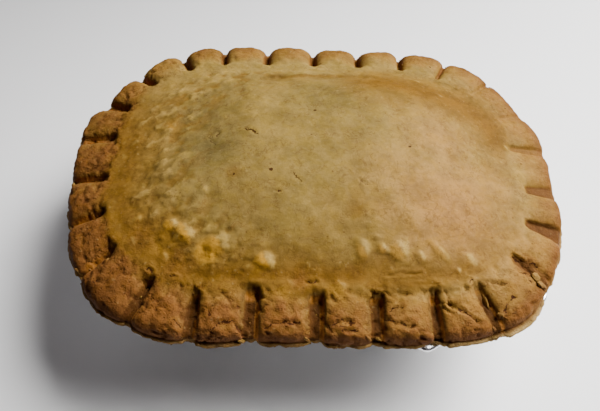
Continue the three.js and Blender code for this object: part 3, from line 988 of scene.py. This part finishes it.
def open_cracks(known, find):
    """Splits between the crumbly crimps' cells, painted dark as shade, and the cracks of the photo with their
    raised lips.
    """
    bent = known.points + CRACK_SHAPE.wander * known.wander
    split = smoothstep(*SPLITS.edge, cell_borders(bent, SPLITS.cell)) * known.crumbly
    split = split * smoothstep(*SPLITS.part, clumps(known.points, *SPLITS.lumps))
    known.rise -= SPLITS.depth * split
    strengthen(known, "split_and_brow_shade", SPLITS.dark * split)
    crack_side = np.zeros(len(bent))
    nearest = np.full(len(bent), np.inf)
    for pixels, width, depth in CRACKS:
        places = [find(pixel) for pixel in pixels]
        gap, side, past = line_gap(bent, [place for place, _ in places], places[0][1])
        lips = bell((gap - CRACK_SHAPE.lip_place * width) / (CRACK_SHAPE.lip_width * width))
        known.rise += CRACK_SHAPE.lip_height * lips - CRACK_SHAPE.sink * depth * bell(gap / width)
        near = smoothstep(*CRACK_SHAPE.fade, gap) * smoothstep(*CRACK_SHAPE.end, past)
        near = near * min(1, depth / CRACK_SHAPE.full_depth)
        crack_side = np.where(gap < nearest, side, crack_side)
        known.masks["crack_near"] = np.where(gap < nearest, near, known.masks["crack_near"])
        nearest = np.minimum(nearest, gap)
    known.masks["crack_side"] = 0.5 + 0.5 * crack_side / CRACK_REACH


def fold_lid(known, find):
    """Folds at the lid's near edge, steps at its far edge and ruffles on its left, and the pinholes."""
    bent = known.points + FOLD_WANDER * known.wander
    for pixels, width, height in FOLDS:
        gap, _, _ = line_gap(bent, photo_line(find, pixels))
        known.rise += height * bell(gap / width) * (1 + FOLD_UNEVEN * known.middling)
    for pixels, drop, reach, tone, strength in STEPS:
        _, side, past = line_gap(bent, photo_line(find, pixels))
        inside = np.maximum(-side, 0)
        step = np.exp(-inside / reach) * smoothstep(*STEP_SHAPE.end, past) * known.lid
        known.rise -= drop * step * smoothstep(0, STEP_WIDTH, inside)
        known.rise += STEP_SHAPE.lip * drop * step * bell(side / STEP_WIDTH)
        # The tone below the step, painted as shade
        strengthen(known, tone, strength * step * smoothstep(0, STEP_SHAPE.tone_width * STEP_WIDTH, inside))
    known.rise += RUFFLES.height * known.wrinkled * known.lumpy
    # Painted highlight on the ruffles' crests
    strengthen(known, "blister_highlight", RUFFLES.pale * known.wrinkled * smoothstep(*RUFFLES.crests, known.lumpy))
    for pixel, radius in PINHOLES:
        away = gap_from(known, find(pixel)[0])
        strengthen(known, "hole_near", 1 - away / (PINHOLE_REACH * radius))


def small_blisters(known):
    """Little blisters scattered over the lid, most of them near its left and near edges."""
    rng = np.random.default_rng(SMALL_BLISTERS.seed)
    weight = np.where(known.lid, near_left(known, *SMALL_BLISTERS.part), 0)
    places = rng.choice(len(weight), SMALL_BLISTERS.count, replace=False, p=weight / weight.sum())
    blisters = []
    for place, size in zip(places, rng.uniform(*SMALL_BLISTERS.sizes, SMALL_BLISTERS.count)):
        width = size * rng.uniform(*SMALL_BLISTERS.widths)
        turn = rng.uniform(*SMALL_BLISTERS.turns)
        blisters.append((known.points[place], size, width, turn, size * SMALL_BLISTERS.height))
    return blisters


def raise_blisters(known, find):
    """Domes of the blisters, with a painted highlight on the side towards the light and painted shade in
    honey tones on their other side.
    """
    shape = BLISTER_SHAPE
    top = known.shown & ~known.face & ~known.lip
    honey = shape.honey - shape.honey_less * smoothstep(*shape.honey_x, known.x)
    spots = [(find(pixel)[0], *size) for pixel, *size in BLISTERS] + small_blisters(known)
    for centre, length, width, degrees, height in spots:
        angle = math.radians(degrees)
        east, north = known.x - centre[0], known.y - centre[1]
        long_way = (east * math.cos(angle) + north * math.sin(angle)) / (length / 2)
        short_way = (north * math.cos(angle) - east * math.sin(angle)) / (width / 2)
        lumpy_rim = 1 + shape.middling * known.middling + shape.fine * known.fine
        dome = np.where(top, smoothstep(*shape.rim, np.hypot(long_way, short_way) * lumpy_rim), 0)
        known.rise += shape.rise * height * dome
        lightwards = (shape.light_from[0] * east + shape.light_from[1] * north) / (length / 2)
        lit = smoothstep(*shape.lit, lightwards + shape.lit_fine * known.fine)
        bold = min(1, height / shape.bold_height) * np.sqrt(dome)
        # Painted highlight on the side towards the light, painted shade in honey on the other side
        strengthen(known, "blister_highlight", bold * lit)
        strengthen(known, "honey_and_shade", honey * bold * (1 - lit) * smoothstep(*shape.honey_heights, height))


def tint_lid(known, find):
    """Patches and bands of tone on the lid, among them painted shade and a painted sheen, and the glaze along
    its margin, kept off the crimps.
    """
    for name, patches in TONE_PATCHES.items():
        for pixel, reach, strength in patches:
            away = gap_from(known, find(pixel)[0]) / reach
            strengthen(known, name, strength * bell(away, TONE_UNEVEN * known.broad))
    # Bands of glaze, partly painted shade along the lid's near foot and under its near right edge
    for pixels, reach, strength in GLAZE_BANDS:
        gap, _, _ = line_gap(known.points, photo_line(find, pixels))
        strengthen(known, "glaze_and_shade", strength * bell(gap / reach, BAND_UNEVEN * known.broad))
    margin = smoothstep(*GLAZE_MARGIN.insets, known.inset) * near_left(known, *GLAZE_MARGIN.part)
    margin = margin * (1 - GLAZE_MARGIN.far_less * smoothstep(*GLAZE_MARGIN.far_y, known.y))
    strengthen(known, "glaze_and_shade", GLAZE_MARGIN.strength * margin)
    strengthen(known, "glaze_and_shade", RUFFLES.glaze * known.wrinkled * smoothstep(*RUFFLES.valleys, known.lumpy))
    far_right = smoothstep(*GLAZE_REACH.right_x, known.x) * smoothstep(*GLAZE_REACH.far_y, known.y)
    reaching = np.maximum(near_left(known, *GLAZE_REACH.part), far_right)
    known.masks["glaze_and_shade"] *= 1 - lerp(known.crimped, known.lobed, reaching)


def brown_rim(known, find):
    """The baked brown of the crimps, most on the left, and painted shade on the outer faces, darkest at the
    near left.
    """
    x, y, inset = known.x, known.y, known.inset
    sides = BROWNING.middle - BROWNING.left_slope * x - BROWNING.far_slope * np.maximum(y, 0)
    sides += BROWNING.near_more * smoothstep(*BROWNING.near_y, y)
    sides -= spot_sum(x, y, PALER_LOBES)
    left = smoothstep(*BROWNING.left_x, x) * smoothstep(*BROWNING.left_y, y)
    far = smoothstep(*BROWNING.far_y, y)
    start = lerp(lerp(BROWNING.start, BROWNING.left_start, left), BROWNING.far_start, far)
    end = lerp(BROWNING.end, BROWNING.far_end, far)
    baked = 1 - smoothstep(start, end, inset + BROWNING.wander * known.broad)
    baked *= sides * (1 + BROWNING.uneven * known.middling)
    baked *= 1 - BROWNING.wall_less * known.walls * smoothstep(*BROWNING.wall_x, x)
    baked += BROWNING.edge_more * smoothstep(*BROWNING.edge, inset) * smoothstep(*BROWNING.edge_x, x)
    for pixel, reach, strength in BROWN_PATCHES:
        away = gap_from(known, find(pixel)[0]) / reach
        baked = np.maximum(baked, strength * bell(away, BROWN_UNEVEN * known.middling))
    # Outer faces painted as shade: browner at the left, paler where the light falls on the right
    shaded = 1 - FACES.paler * smoothstep(*FACES.paler_part, x + FACES.paler_lean * y)
    faced = known.face * smoothstep(*FACES.start, known.face_share)
    known.masks["browned"] = lerp(baked, shaded, faced)
    known.masks["face_shade"] = faced * shaded * smoothstep(*FACES.shade_part, x + y)


def tint_grooves(known):
    """Brown floors and walls of the grooves, with painted shade on the floors and the near walls, which
    differ from side to side as the light falls.
    """
    x, y, inset, groove, past = known.x, known.y, known.inset, known.groove, known.column.past
    sunken = smoothstep(*FLOORS.sunken, groove) * (1 - FLOORS.inner_less * smoothstep(*FLOORS.inner, inset))
    near = known.column.near * smoothstep(*FLOORS.near_y, y)
    right = smoothstep(*FLOORS.right_x, x) * smoothstep(*FLOORS.right_y, y) * (1 - near)
    left = smoothstep(*FLOORS.left_x, x) * (1 - near)
    far = smoothstep(*BROWNING.far_y, y)
    # Browner floors of the grooves away from the near side, partly baked brown and partly painted shade
    strengthen(known, "browned", lerp(sunken, smoothstep(*FLOORS.right_brown, groove), right) * (1 - near))
    floored = lerp(FLOORS.plain_strength * (1 - far), FLOORS.left_strength, left)
    floored = lerp(floored, smoothstep(*FLOORS.near_left_end, past), near)
    right_floor = FLOORS.right_strength * right * smoothstep(*FLOORS.right_floor, groove)
    known.masks["floor_shade"] = np.where(known.lip, 0, np.maximum(sunken * floored, right_floor))
    shadow = np.maximum(smoothstep(*FLOORS.shadow, past), smoothstep(*FLOORS.shadowed_end, inset))
    known.masks["shadowed"] = left + near * shadow
    # Darker tone painted on the near grooves' sunlit walls, to offset the light there
    steep = smoothstep(*FLOORS.wall_foot, groove) * smoothstep(*FLOORS.wall_top, groove)
    wall = steep * near * smoothstep(*FLOORS.wall_x, x)
    known.masks["flank"] = np.where(known.lip | known.face, 0, wall)


def tint_edge(known):
    """The crumbly crimps, painted shade along the brow at the near left, and the raw lip of base pastry."""
    known.masks["crumbly"] = known.crimped * lerp(CRUMBLY_LEAST, 1, known.crumbly)
    brow = smoothstep(*BROW_SHADE.inset, known.inset + BROW_SHADE.wander * known.middling)
    brow = brow * smoothstep(*BROW_SHADE.x, known.x) * smoothstep(*BROW_SHADE.y, known.y)
    strengthen(known, "split_and_brow_shade", np.where(known.lip, 0, BROW_SHADE.strength * brow))
    *corner, reach = LIP_SPREAD.spot
    spread = near_spot(known.x, known.y, *corner, RAW_LIP.spread * reach)
    known.masks["raw"] = np.where(known.lip, RAW_LIP.least + RAW_LIP.more * spread, 0)


def edge_points(column):
    return np.stack([column.x, column.y, np.full(len(column.x), FLANGE_TOP)], axis=-1)


def glints(column):
    """Share by which each column is at one of the places where the photo shows the foil's edge."""
    sight = edge_points(column) - CAMERA_PLACE
    depth = -(sight @ CAMERA_BACK)
    across = IMAGE_WIDTH / 2 + FOCAL_PIXELS * (sight @ CAMERA_RIGHT) / depth
    down = IMAGE_HEIGHT / 2 - FOCAL_PIXELS * (sight @ CAMERA_UP) / depth
    return np.max([near_spot(across, down, *pixel, reach) for pixel, reach in FOIL_GLINTS], axis=0)


def draw_in_lip(known):
    """Draws the base pastry's lip in where the foil below it shows, and makes its edge ragged."""
    column = known.column
    ragged = LIP_RAGGED.depth * clumps(edge_points(column), *LIP_RAGGED.lumps)
    pull = np.where(known.lip, GLINT_DEPTH * glints(column) + ragged, 0)
    known.points[:, 0] -= column.out_x * pull
    known.points[:, 1] -= column.out_y * pull


def crust():
    piece, rim_points = crust_template()
    known = press_crust(piece, rim_points)
    turn_faces()
    find = photo_finder(piece)
    know_surface(known)
    roughen(known)
    open_cracks(known, find)
    fold_lid(known, find)
    raise_blisters(known, find)
    tint_lid(known, find)
    brown_rim(known, find)
    tint_grooves(known)
    tint_edge(known)
    draw_in_lip(known)
    rise = np.where(known.shown, known.rise, 0)
    write_points(piece, (known.points + read_normals(piece) * rise[:, None]) * MM)
    for name, values in known.masks.items():
        paint(piece, name, values)
    bpy.ops.object.shade_smooth()
    return piece, known


# Foil tray

def tray_rings():
    """The foil's outer skin as inset, height and share of the pleats, from the base to the rolled edge."""
    foot = WALL_INSET + WALL_DRAFT + FOOT_RADIUS
    outer = FOOT_RADIUS + FOIL_SPACE
    rings = [(inset, 0, 0) for inset in (*BASE_INSETS, foot + FOOT_MARGIN)]
    for degrees in np.linspace(90, 0, FOOT_RINGS):
        angle = math.radians(degrees)
        rings.append((foot - outer * math.cos(angle), outer - outer * math.sin(angle), 1 - degrees / 90))
    wall_foot = np.array([foot - outer, outer, 1])
    wall_top = np.array([WALL_INSET, TRAY_DEPTH - SHOULDER_DROP, PLEAT_TOP_SHARE])
    rings += [tuple(lerp(wall_foot, wall_top, share)) for share in np.linspace(*WALL_SHARES, WALL_RINGS)]
    rings += [(WALL_INSET - out, TRAY_DEPTH - drop, share) for out, drop, share in SHOULDER_RINGS]
    rings += [(inset, TRAY_DEPTH - FOIL, 0) for inset in FLANGE_INSETS]
    roll = BEAD_RADIUS - FOIL
    for degrees in np.linspace(*ROLL_DEGREES, ROLL_RINGS):
        angle = math.radians(degrees)
        inset = TRAY_INSET + BEAD_RADIUS - roll * math.cos(angle)
        rings.append((inset, TRAY_DEPTH - BEAD_RADIUS + roll * math.sin(angle), 0))
    return rings


def foil_tray():
    rings = tray_rings()
    piece = ringed_disc("foil_tray_sheet", PLEATS * COLUMNS_PER_PLEAT, len(rings), "TRIFAN")
    bpy.ops.object.mode_set(mode="OBJECT")
    flat = read_points(piece)
    radius, turn = disc_places(flat)
    column = SimpleNamespace()
    column.x, column.y, column.out_x, column.out_y = plan_line(turn * 4 * QUARTER)
    pleat = PLEAT_DEPTH * np.cos(2 * math.pi * PLEATS * turn)
    points = np.zeros_like(flat)
    for number, (inset, height, pleat_share) in enumerate(rings):
        chosen = np.abs(radius - 1 - RING_STEP * number) < RING_STEP / 2
        reach = EDGE_INSET - inset - pleat[chosen] * pleat_share
        points[chosen, 0] = column.x[chosen] + column.out_x[chosen] * reach
        points[chosen, 1] = column.y[chosen] + column.out_y[chosen] * reach
        points[chosen, 2] = height
    ring_radii = 1 + RING_STEP * np.arange(len(rings))
    edge = smoothstep(*FOIL_EDGE, np.interp(radius, ring_radii, [inset for inset, _, _ in rings]))
    crinkle = clumps(points, *CRINKLES.lumps)
    shown = np.sqrt(glints(column))
    bulge = np.maximum(spot_sum(column.x, column.y, EDGE_BULGES), 0)
    pinch = CRINKLES.push * crinkle - FOIL_PINCH * (1 - shown) + shown * (GLINT_REACH + bulge)
    points[:, 0] += column.out_x * edge * pinch
    points[:, 1] += column.out_y * edge * pinch
    points[:, 2] -= edge * CRINKLES.drop * np.abs(crinkle)
    write_points(piece, points * MM)
    turn_faces(inside=True)
    skin = piece.modifiers.new("foil thickness", "SOLIDIFY")
    skin.thickness = FOIL * MM
    skin.offset = -1
    bpy.ops.object.modifier_apply(modifier=skin.name)
    bpy.ops.object.shade_smooth_by_angle(angle=FOIL_SMOOTH_ANGLE)
    return piece


# Crumbs

def crumb(start, end, width, thickness, normal, rng):
    """One crumb or flake lying from start to end, its broad side along the normal's plane."""
    long_way = end - start
    length = np.linalg.norm(long_way)
    bpy.ops.mesh.primitive_ico_sphere_add(subdivisions=CRUMBS.subdivisions, radius=1)
    piece = bpy.context.object
    points = read_points(piece)
    lumpy = clumps(points, CRUMBS.lump_size, CRUMBS.lump_octaves, rng.uniform(*CRUMBS.lump_shifts))
    points *= 1 + CRUMBS.lump_height * lumpy[:, None]
    along = long_way / length
    up = normal - along * (normal @ along)
    up /= np.linalg.norm(up)
    axes = np.stack([along * length / 2, np.cross(up, along) * width / 2, up * thickness / 2])
    middle = (start + end) / 2 + up * thickness * CRUMBS.lift
    write_points(piece, (points @ axes + middle) * MM)
    return piece


def crumbs(known, crust_piece):
    deselect_all()
    rng = np.random.default_rng(CRUMBS.seed)
    find = photo_finder(crust_piece)
    made = []
    for start_pixel, end_pixel, width, thickness in FLAKES:
        start, normal = find(start_pixel)
        end, _ = find(end_pixel)
        made.append(crumb(start, end, width, thickness, normal, rng))
    surface = read_points(crust_piece) / MM
    normals = read_normals(crust_piece)
    weight = np.where(known.shown, known.groove ** 2 + CRUMBS.on_lip * known.lip, 0)
    for place in rng.choice(len(weight), CRUMBS.count, replace=False, p=weight / weight.sum()):
        size = rng.uniform(*CRUMBS.sizes)
        lie = rng.normal(size=3)
        lie *= size / np.linalg.norm(lie)
        start = surface[place] - lie / 2
        width, thickness = size * CRUMBS.width, size * CRUMBS.thickness
        made.append(crumb(start, start + lie, width, thickness, normals[place], rng))
    for piece in made:
        piece.select_set(True)
    bpy.context.view_layer.objects.active = made[0]
    bpy.ops.object.join()
    bpy.ops.object.shade_flat()
    made[0].name = "pastry_crumbs"
    made[0].data.name = "pastry_crumbs"
    return made[0]


# Materials

def add_node(tree, kind, inputs=None, **settings):
    made = tree.nodes.new(kind)
    for name, value in settings.items():
        setattr(made, name, value)
    for socket, value in (inputs or {}).items():
        if isinstance(value, bpy.types.NodeSocket):
            tree.links.new(value, made.inputs[socket])
        else:
            made.inputs[socket].default_value = value
    return made


def blend(tree, share, first, second, way="MIX"):
    colours = {0: share, 6: first, 7: second}
    return add_node(tree, "ShaderNodeMix", colours, data_type="RGBA", blend_type=way).outputs[2]


def ramp(tree, value, low, high, to_low=0.0, to_high=1.0, way="SMOOTHSTEP"):
    inputs = {"Value": value, "From Min": low, "From Max": high, "To Min": to_low, "To Max": to_high}
    return add_node(tree, "ShaderNodeMapRange", inputs, interpolation_type=way).outputs["Result"]


def reckon(tree, operation, *values):
    return add_node(tree, "ShaderNodeMath", dict(enumerate(values)), operation=operation).outputs[0]


def mask(tree, name):
    return add_node(tree, "ShaderNodeAttribute", attribute_name=name).outputs["Fac"]


def object_place(tree):
    return add_node(tree, "ShaderNodeTexCoord").outputs["Object"]


def lumps(tree, coordinates, size, detail, distortion=0.0):
    """Noise with lumps of a size in millimetres."""
    inputs = {"Vector": coordinates, "Scale": 1 / (size * MM), "Detail": detail, "Distortion": distortion}
    return add_node(tree, "ShaderNodeTexNoise", inputs).outputs["Fac"]


def dots(tree, coordinates, cell, edge):
    """One round dot in each cell of a size in millimetres."""
    cells = add_node(tree, "ShaderNodeTexVoronoi", {"Vector": coordinates, "Scale": 1 / (cell * MM)})
    return ramp(tree, cells.outputs["Distance"], *edge)


def thin_lines(tree, value, width):
    """Lines where a noise value crosses its middle."""
    return reckon(tree, "COMPARE", value, 0.5, width)


def baked_grain():
    """Node group of the pastry's fine grain: mottling, dark specks, pale flecks and bump height."""
    group = bpy.data.node_groups.new("baked grain", "ShaderNodeTree")
    place = object_place(group)
    noises = {name: lumps(group, place, *shape) for name, shape in GRAIN_NOISES.items()}
    kept = {name: ramp(group, noises[name], *part) for name, part in GRAIN_KEPT.items()}
    grain, grit = noises["grain"], noises["grit"]
    mottle = reckon(group, "MULTIPLY_ADD", grain, MOTTLE_SHARES.grain, noises["patches"])
    split_lines = thin_lines(group, noises["split line"], SPLIT_LINE)
    vein_lines = thin_lines(group, noises["vein line"], VEIN_LINE)
    splits = reckon(group, "MULTIPLY", split_lines, kept["split"])
    ends = {
        "Mottle": reckon(group, "MULTIPLY_ADD", grit, MOTTLE_SHARES.grit, mottle),
        "Patches": noises["blotches"],
        "Specks": reckon(group, "MULTIPLY", dots(group, place, SPECKS.cell, SPECKS.edge), kept["specked"]),
        "Flecks": reckon(group, "MULTIPLY", dots(group, place, FLECKS.cell, FLECKS.edge), kept["grain"]),
        "Splits": reckon(group, "MAXIMUM", splits, kept["pits"]),
        "Veins": reckon(group, "MULTIPLY", vein_lines, kept["veined"]),
        "Height": reckon(group, "MULTIPLY_ADD", grain, GRAIN_HEIGHT, grit),
    }
    for name in ends:
        group.interface.new_socket(name, in_out="OUTPUT", socket_type="NodeSocketFloat")
    add_node(group, "NodeGroupOutput", ends)
    return group


def new_material(name):
    material = bpy.data.materials.new(name)
    material.use_nodes = True
    return material, material.node_tree, material.node_tree.nodes["Principled BSDF"]


def mottled(tree, colour, grain, span):
    value = ramp(tree, grain["Mottle"], *span)
    return add_node(tree, "ShaderNodeHueSaturation", {"Value": value, "Color": colour}).outputs["Color"]


def add_bump(tree, shader, height, strength, distance):
    bump = add_node(tree, "ShaderNodeBump", {"Height": height, "Strength": strength, "Distance": distance})
    tree.links.new(bump.outputs["Normal"], shader.inputs["Normal"])


def lay_tones(tree, colour, shares, tones):
    """Lays the tones over the colour one after the other, each by its share."""
    for name, span, tone in tones:
        share = ramp(tree, shares[name], *span) if span else shares[name]
        colour = blend(tree, share, colour, (*tone, 1))
    return colour


def crack_lines(tree, shares):
    """Thin jagged dark lines along the cracks stored on the crust's points, painted as the shade inside the
    cracks.
    """
    place = object_place(tree)
    side = ramp(tree, shares["crack_side"], 0, 1, -CRACK_REACH, CRACK_REACH, "LINEAR")
    jags = lumps(tree, place, *CRACK_LINE.jags)
    side = reckon(tree, "ADD", side, ramp(tree, jags, 0, 1, -CRACK_LINE.jag, CRACK_LINE.jag, "LINEAR"))
    open_width = ramp(tree, lumps(tree, place, *CRACK_LINE.widths), *CRACK_LINE.width)
    line = reckon(tree, "LESS_THAN", reckon(tree, "ABSOLUTE", side), open_width)
    return reckon(tree, "MULTIPLY", line, ramp(tree, shares["crack_near"], *CRACK_LINE.end))


def pastry(grain_group):
    material, tree, shader = new_material("baked pastry")
    grain = add_node(tree, "ShaderNodeGroup", node_tree=grain_group).outputs
    shares = {name: mask(tree, name) for name in MASKS}
    shares |= {name: grain[name] for name in ("Flecks", "Veins", "Specks")}
    crumbling = ramp(tree, shares["crumbly"], *PASTRY.splits)
    shares["split"] = reckon(tree, "MULTIPLY", grain["Splits"], crumbling)
    shares["grainy blister highlight"] = reckon(
        tree, "MULTIPLY_ADD", grain["Patches"], PASTRY.blister_grain, shares["blister_highlight"])
    shares["hole"] = ramp(tree, shares["hole_near"], *PASTRY.hole)
    shares["crack"] = crack_lines(tree, shares)
    colour = lay_tones(tree, (*GOLDEN, 1), shares, BAKED_TONES)
    # Painted shade on the groove floors: the darker tone where light reaches them, the other in their shadow
    floors = blend(tree, shares["shadowed"], (*LIT_FLOOR, 1), (*SHADED_FLOOR, 1))
    colour = blend(tree, ramp(tree, shares["floor_shade"], *PASTRY.floor), colour, floors)
    deeper = ramp(tree, grain["Patches"], *PASTRY.deeper)
    colour = blend(tree, deeper, colour, (*DEEPER, 1), "MULTIPLY")
    colour = mottled(tree, colour, grain, PASTRY.mottle)
    colour = lay_tones(tree, colour, shares, FINE_MARKS)
    tree.links.new(colour, shader.inputs["Base Color"])
    tree.links.new(ramp(tree, shares["blister_highlight"], *PASTRY.roughness), shader.inputs["Roughness"])
    shader.inputs["Specular IOR Level"].default_value = PASTRY.specular
    relief = reckon(tree, "MULTIPLY_ADD", shares["split"], PASTRY.split_depth, grain["Height"])
    relief = reckon(tree, "MULTIPLY_ADD", shares["crack"], PASTRY.crack_depth, relief)
    add_bump(tree, shader, relief, ramp(tree, shares["browned"], *PASTRY.bump), PASTRY_BUMP)
    return material


def crumb_material(grain_group):
    material, tree, shader = new_material("pastry crumbs")
    grain = add_node(tree, "ShaderNodeGroup", node_tree=grain_group).outputs
    paler = ramp(tree, lumps(tree, object_place(tree), *CRUMB.tones), *CRUMB.tone_part)
    colour = blend(tree, paler, (*CRUMB_BROWN, 1), (*CRUMB_PALE, 1))
    tree.links.new(mottled(tree, colour, grain, CRUMB.mottle), shader.inputs["Base Color"])
    shader.inputs["Roughness"].default_value = CRUMB.roughness
    shader.inputs["Specular IOR Level"].default_value = CRUMB.specular
    add_bump(tree, shader, grain["Height"], CRUMB.bump, PASTRY_BUMP)
    return material


def foil_material():
    material, tree, shader = new_material("aluminium foil")
    place = object_place(tree)
    rolled = lumps(tree, place, *FOIL_LOOK.rolling)
    tree.links.new(blend(tree, rolled, FOIL_LOOK.dull, FOIL_LOOK.bright), shader.inputs["Base Color"])
    shader.inputs["Metallic"].default_value = 1
    tree.links.new(ramp(tree, rolled, *FOIL_LOOK.roughness), shader.inputs["Roughness"])
    add_bump(tree, shader, lumps(tree, place, *FOIL_LOOK.crinkle), FOIL_LOOK.bump, FOIL_LOOK.bump_height)
    return material


# Floor, light and camera

def stage():
    deselect_all()
    bpy.ops.mesh.primitive_plane_add(size=FLOOR.size, location=(0, 0, 0))
    floor = bpy.context.object
    floor.name = "floor"
    material, _, shader = new_material("pale floor")
    shader.inputs["Base Color"].default_value = FLOOR.colour
    shader.inputs["Roughness"].default_value = FLOOR.roughness
    floor.data.materials.append(material)


def light(name, place, target, width, height, energy, colour):
    data = bpy.data.lights.new(name, "AREA")
    data.shape = "RECTANGLE"
    data.size = width
    data.size_y = height
    data.spread = LIGHT_SPREAD
    data.energy = energy
    data.color = colour
    lamp = bpy.data.objects.new(name, data)
    bpy.context.collection.objects.link(lamp)
    lamp.location = place
    lamp.rotation_euler = (Vector(target) - Vector(place)).to_track_quat("-Z", "Y").to_euler()


def studio():
    world = bpy.data.worlds.new("studio")
    bpy.context.scene.world = world
    world.use_nodes = True
    sky = world.node_tree.nodes["Background"]
    sky.inputs["Color"].default_value = WORLD.colour
    sky.inputs["Strength"].default_value = WORLD.strength
    for name, settings in LIGHTS.items():
        light(name, *settings)


def camera():
    data = bpy.data.cameras.new("camera")
    data.sensor_width = SENSOR_WIDTH
    data.lens = FOCAL_PIXELS / IMAGE_WIDTH * SENSOR_WIDTH
    data.clip_start = CLIP_START
    eye = bpy.data.objects.new("camera", data)
    bpy.context.collection.objects.link(eye)
    turn = Matrix((CAMERA_RIGHT, CAMERA_UP, CAMERA_BACK)).transposed()
    eye.matrix_world = Matrix.Translation(Vector(CAMERA_PLACE * MM)) @ turn.to_4x4()
    bpy.context.scene.camera = eye


def place_piece(piece, material):
    piece.data.materials.append(material)
    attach(piece, "root")


camera()
stage()
studio()
grain_nodes = baked_grain()
crust_piece, crust_known = crust()
place_piece(crust_piece, pastry(grain_nodes))
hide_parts("pie")
tray_piece = foil_tray()
place_piece(tray_piece, foil_material())
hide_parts("foil_tray")
place_piece(crumbs(crust_known, crust_piece), crumb_material(grain_nodes))
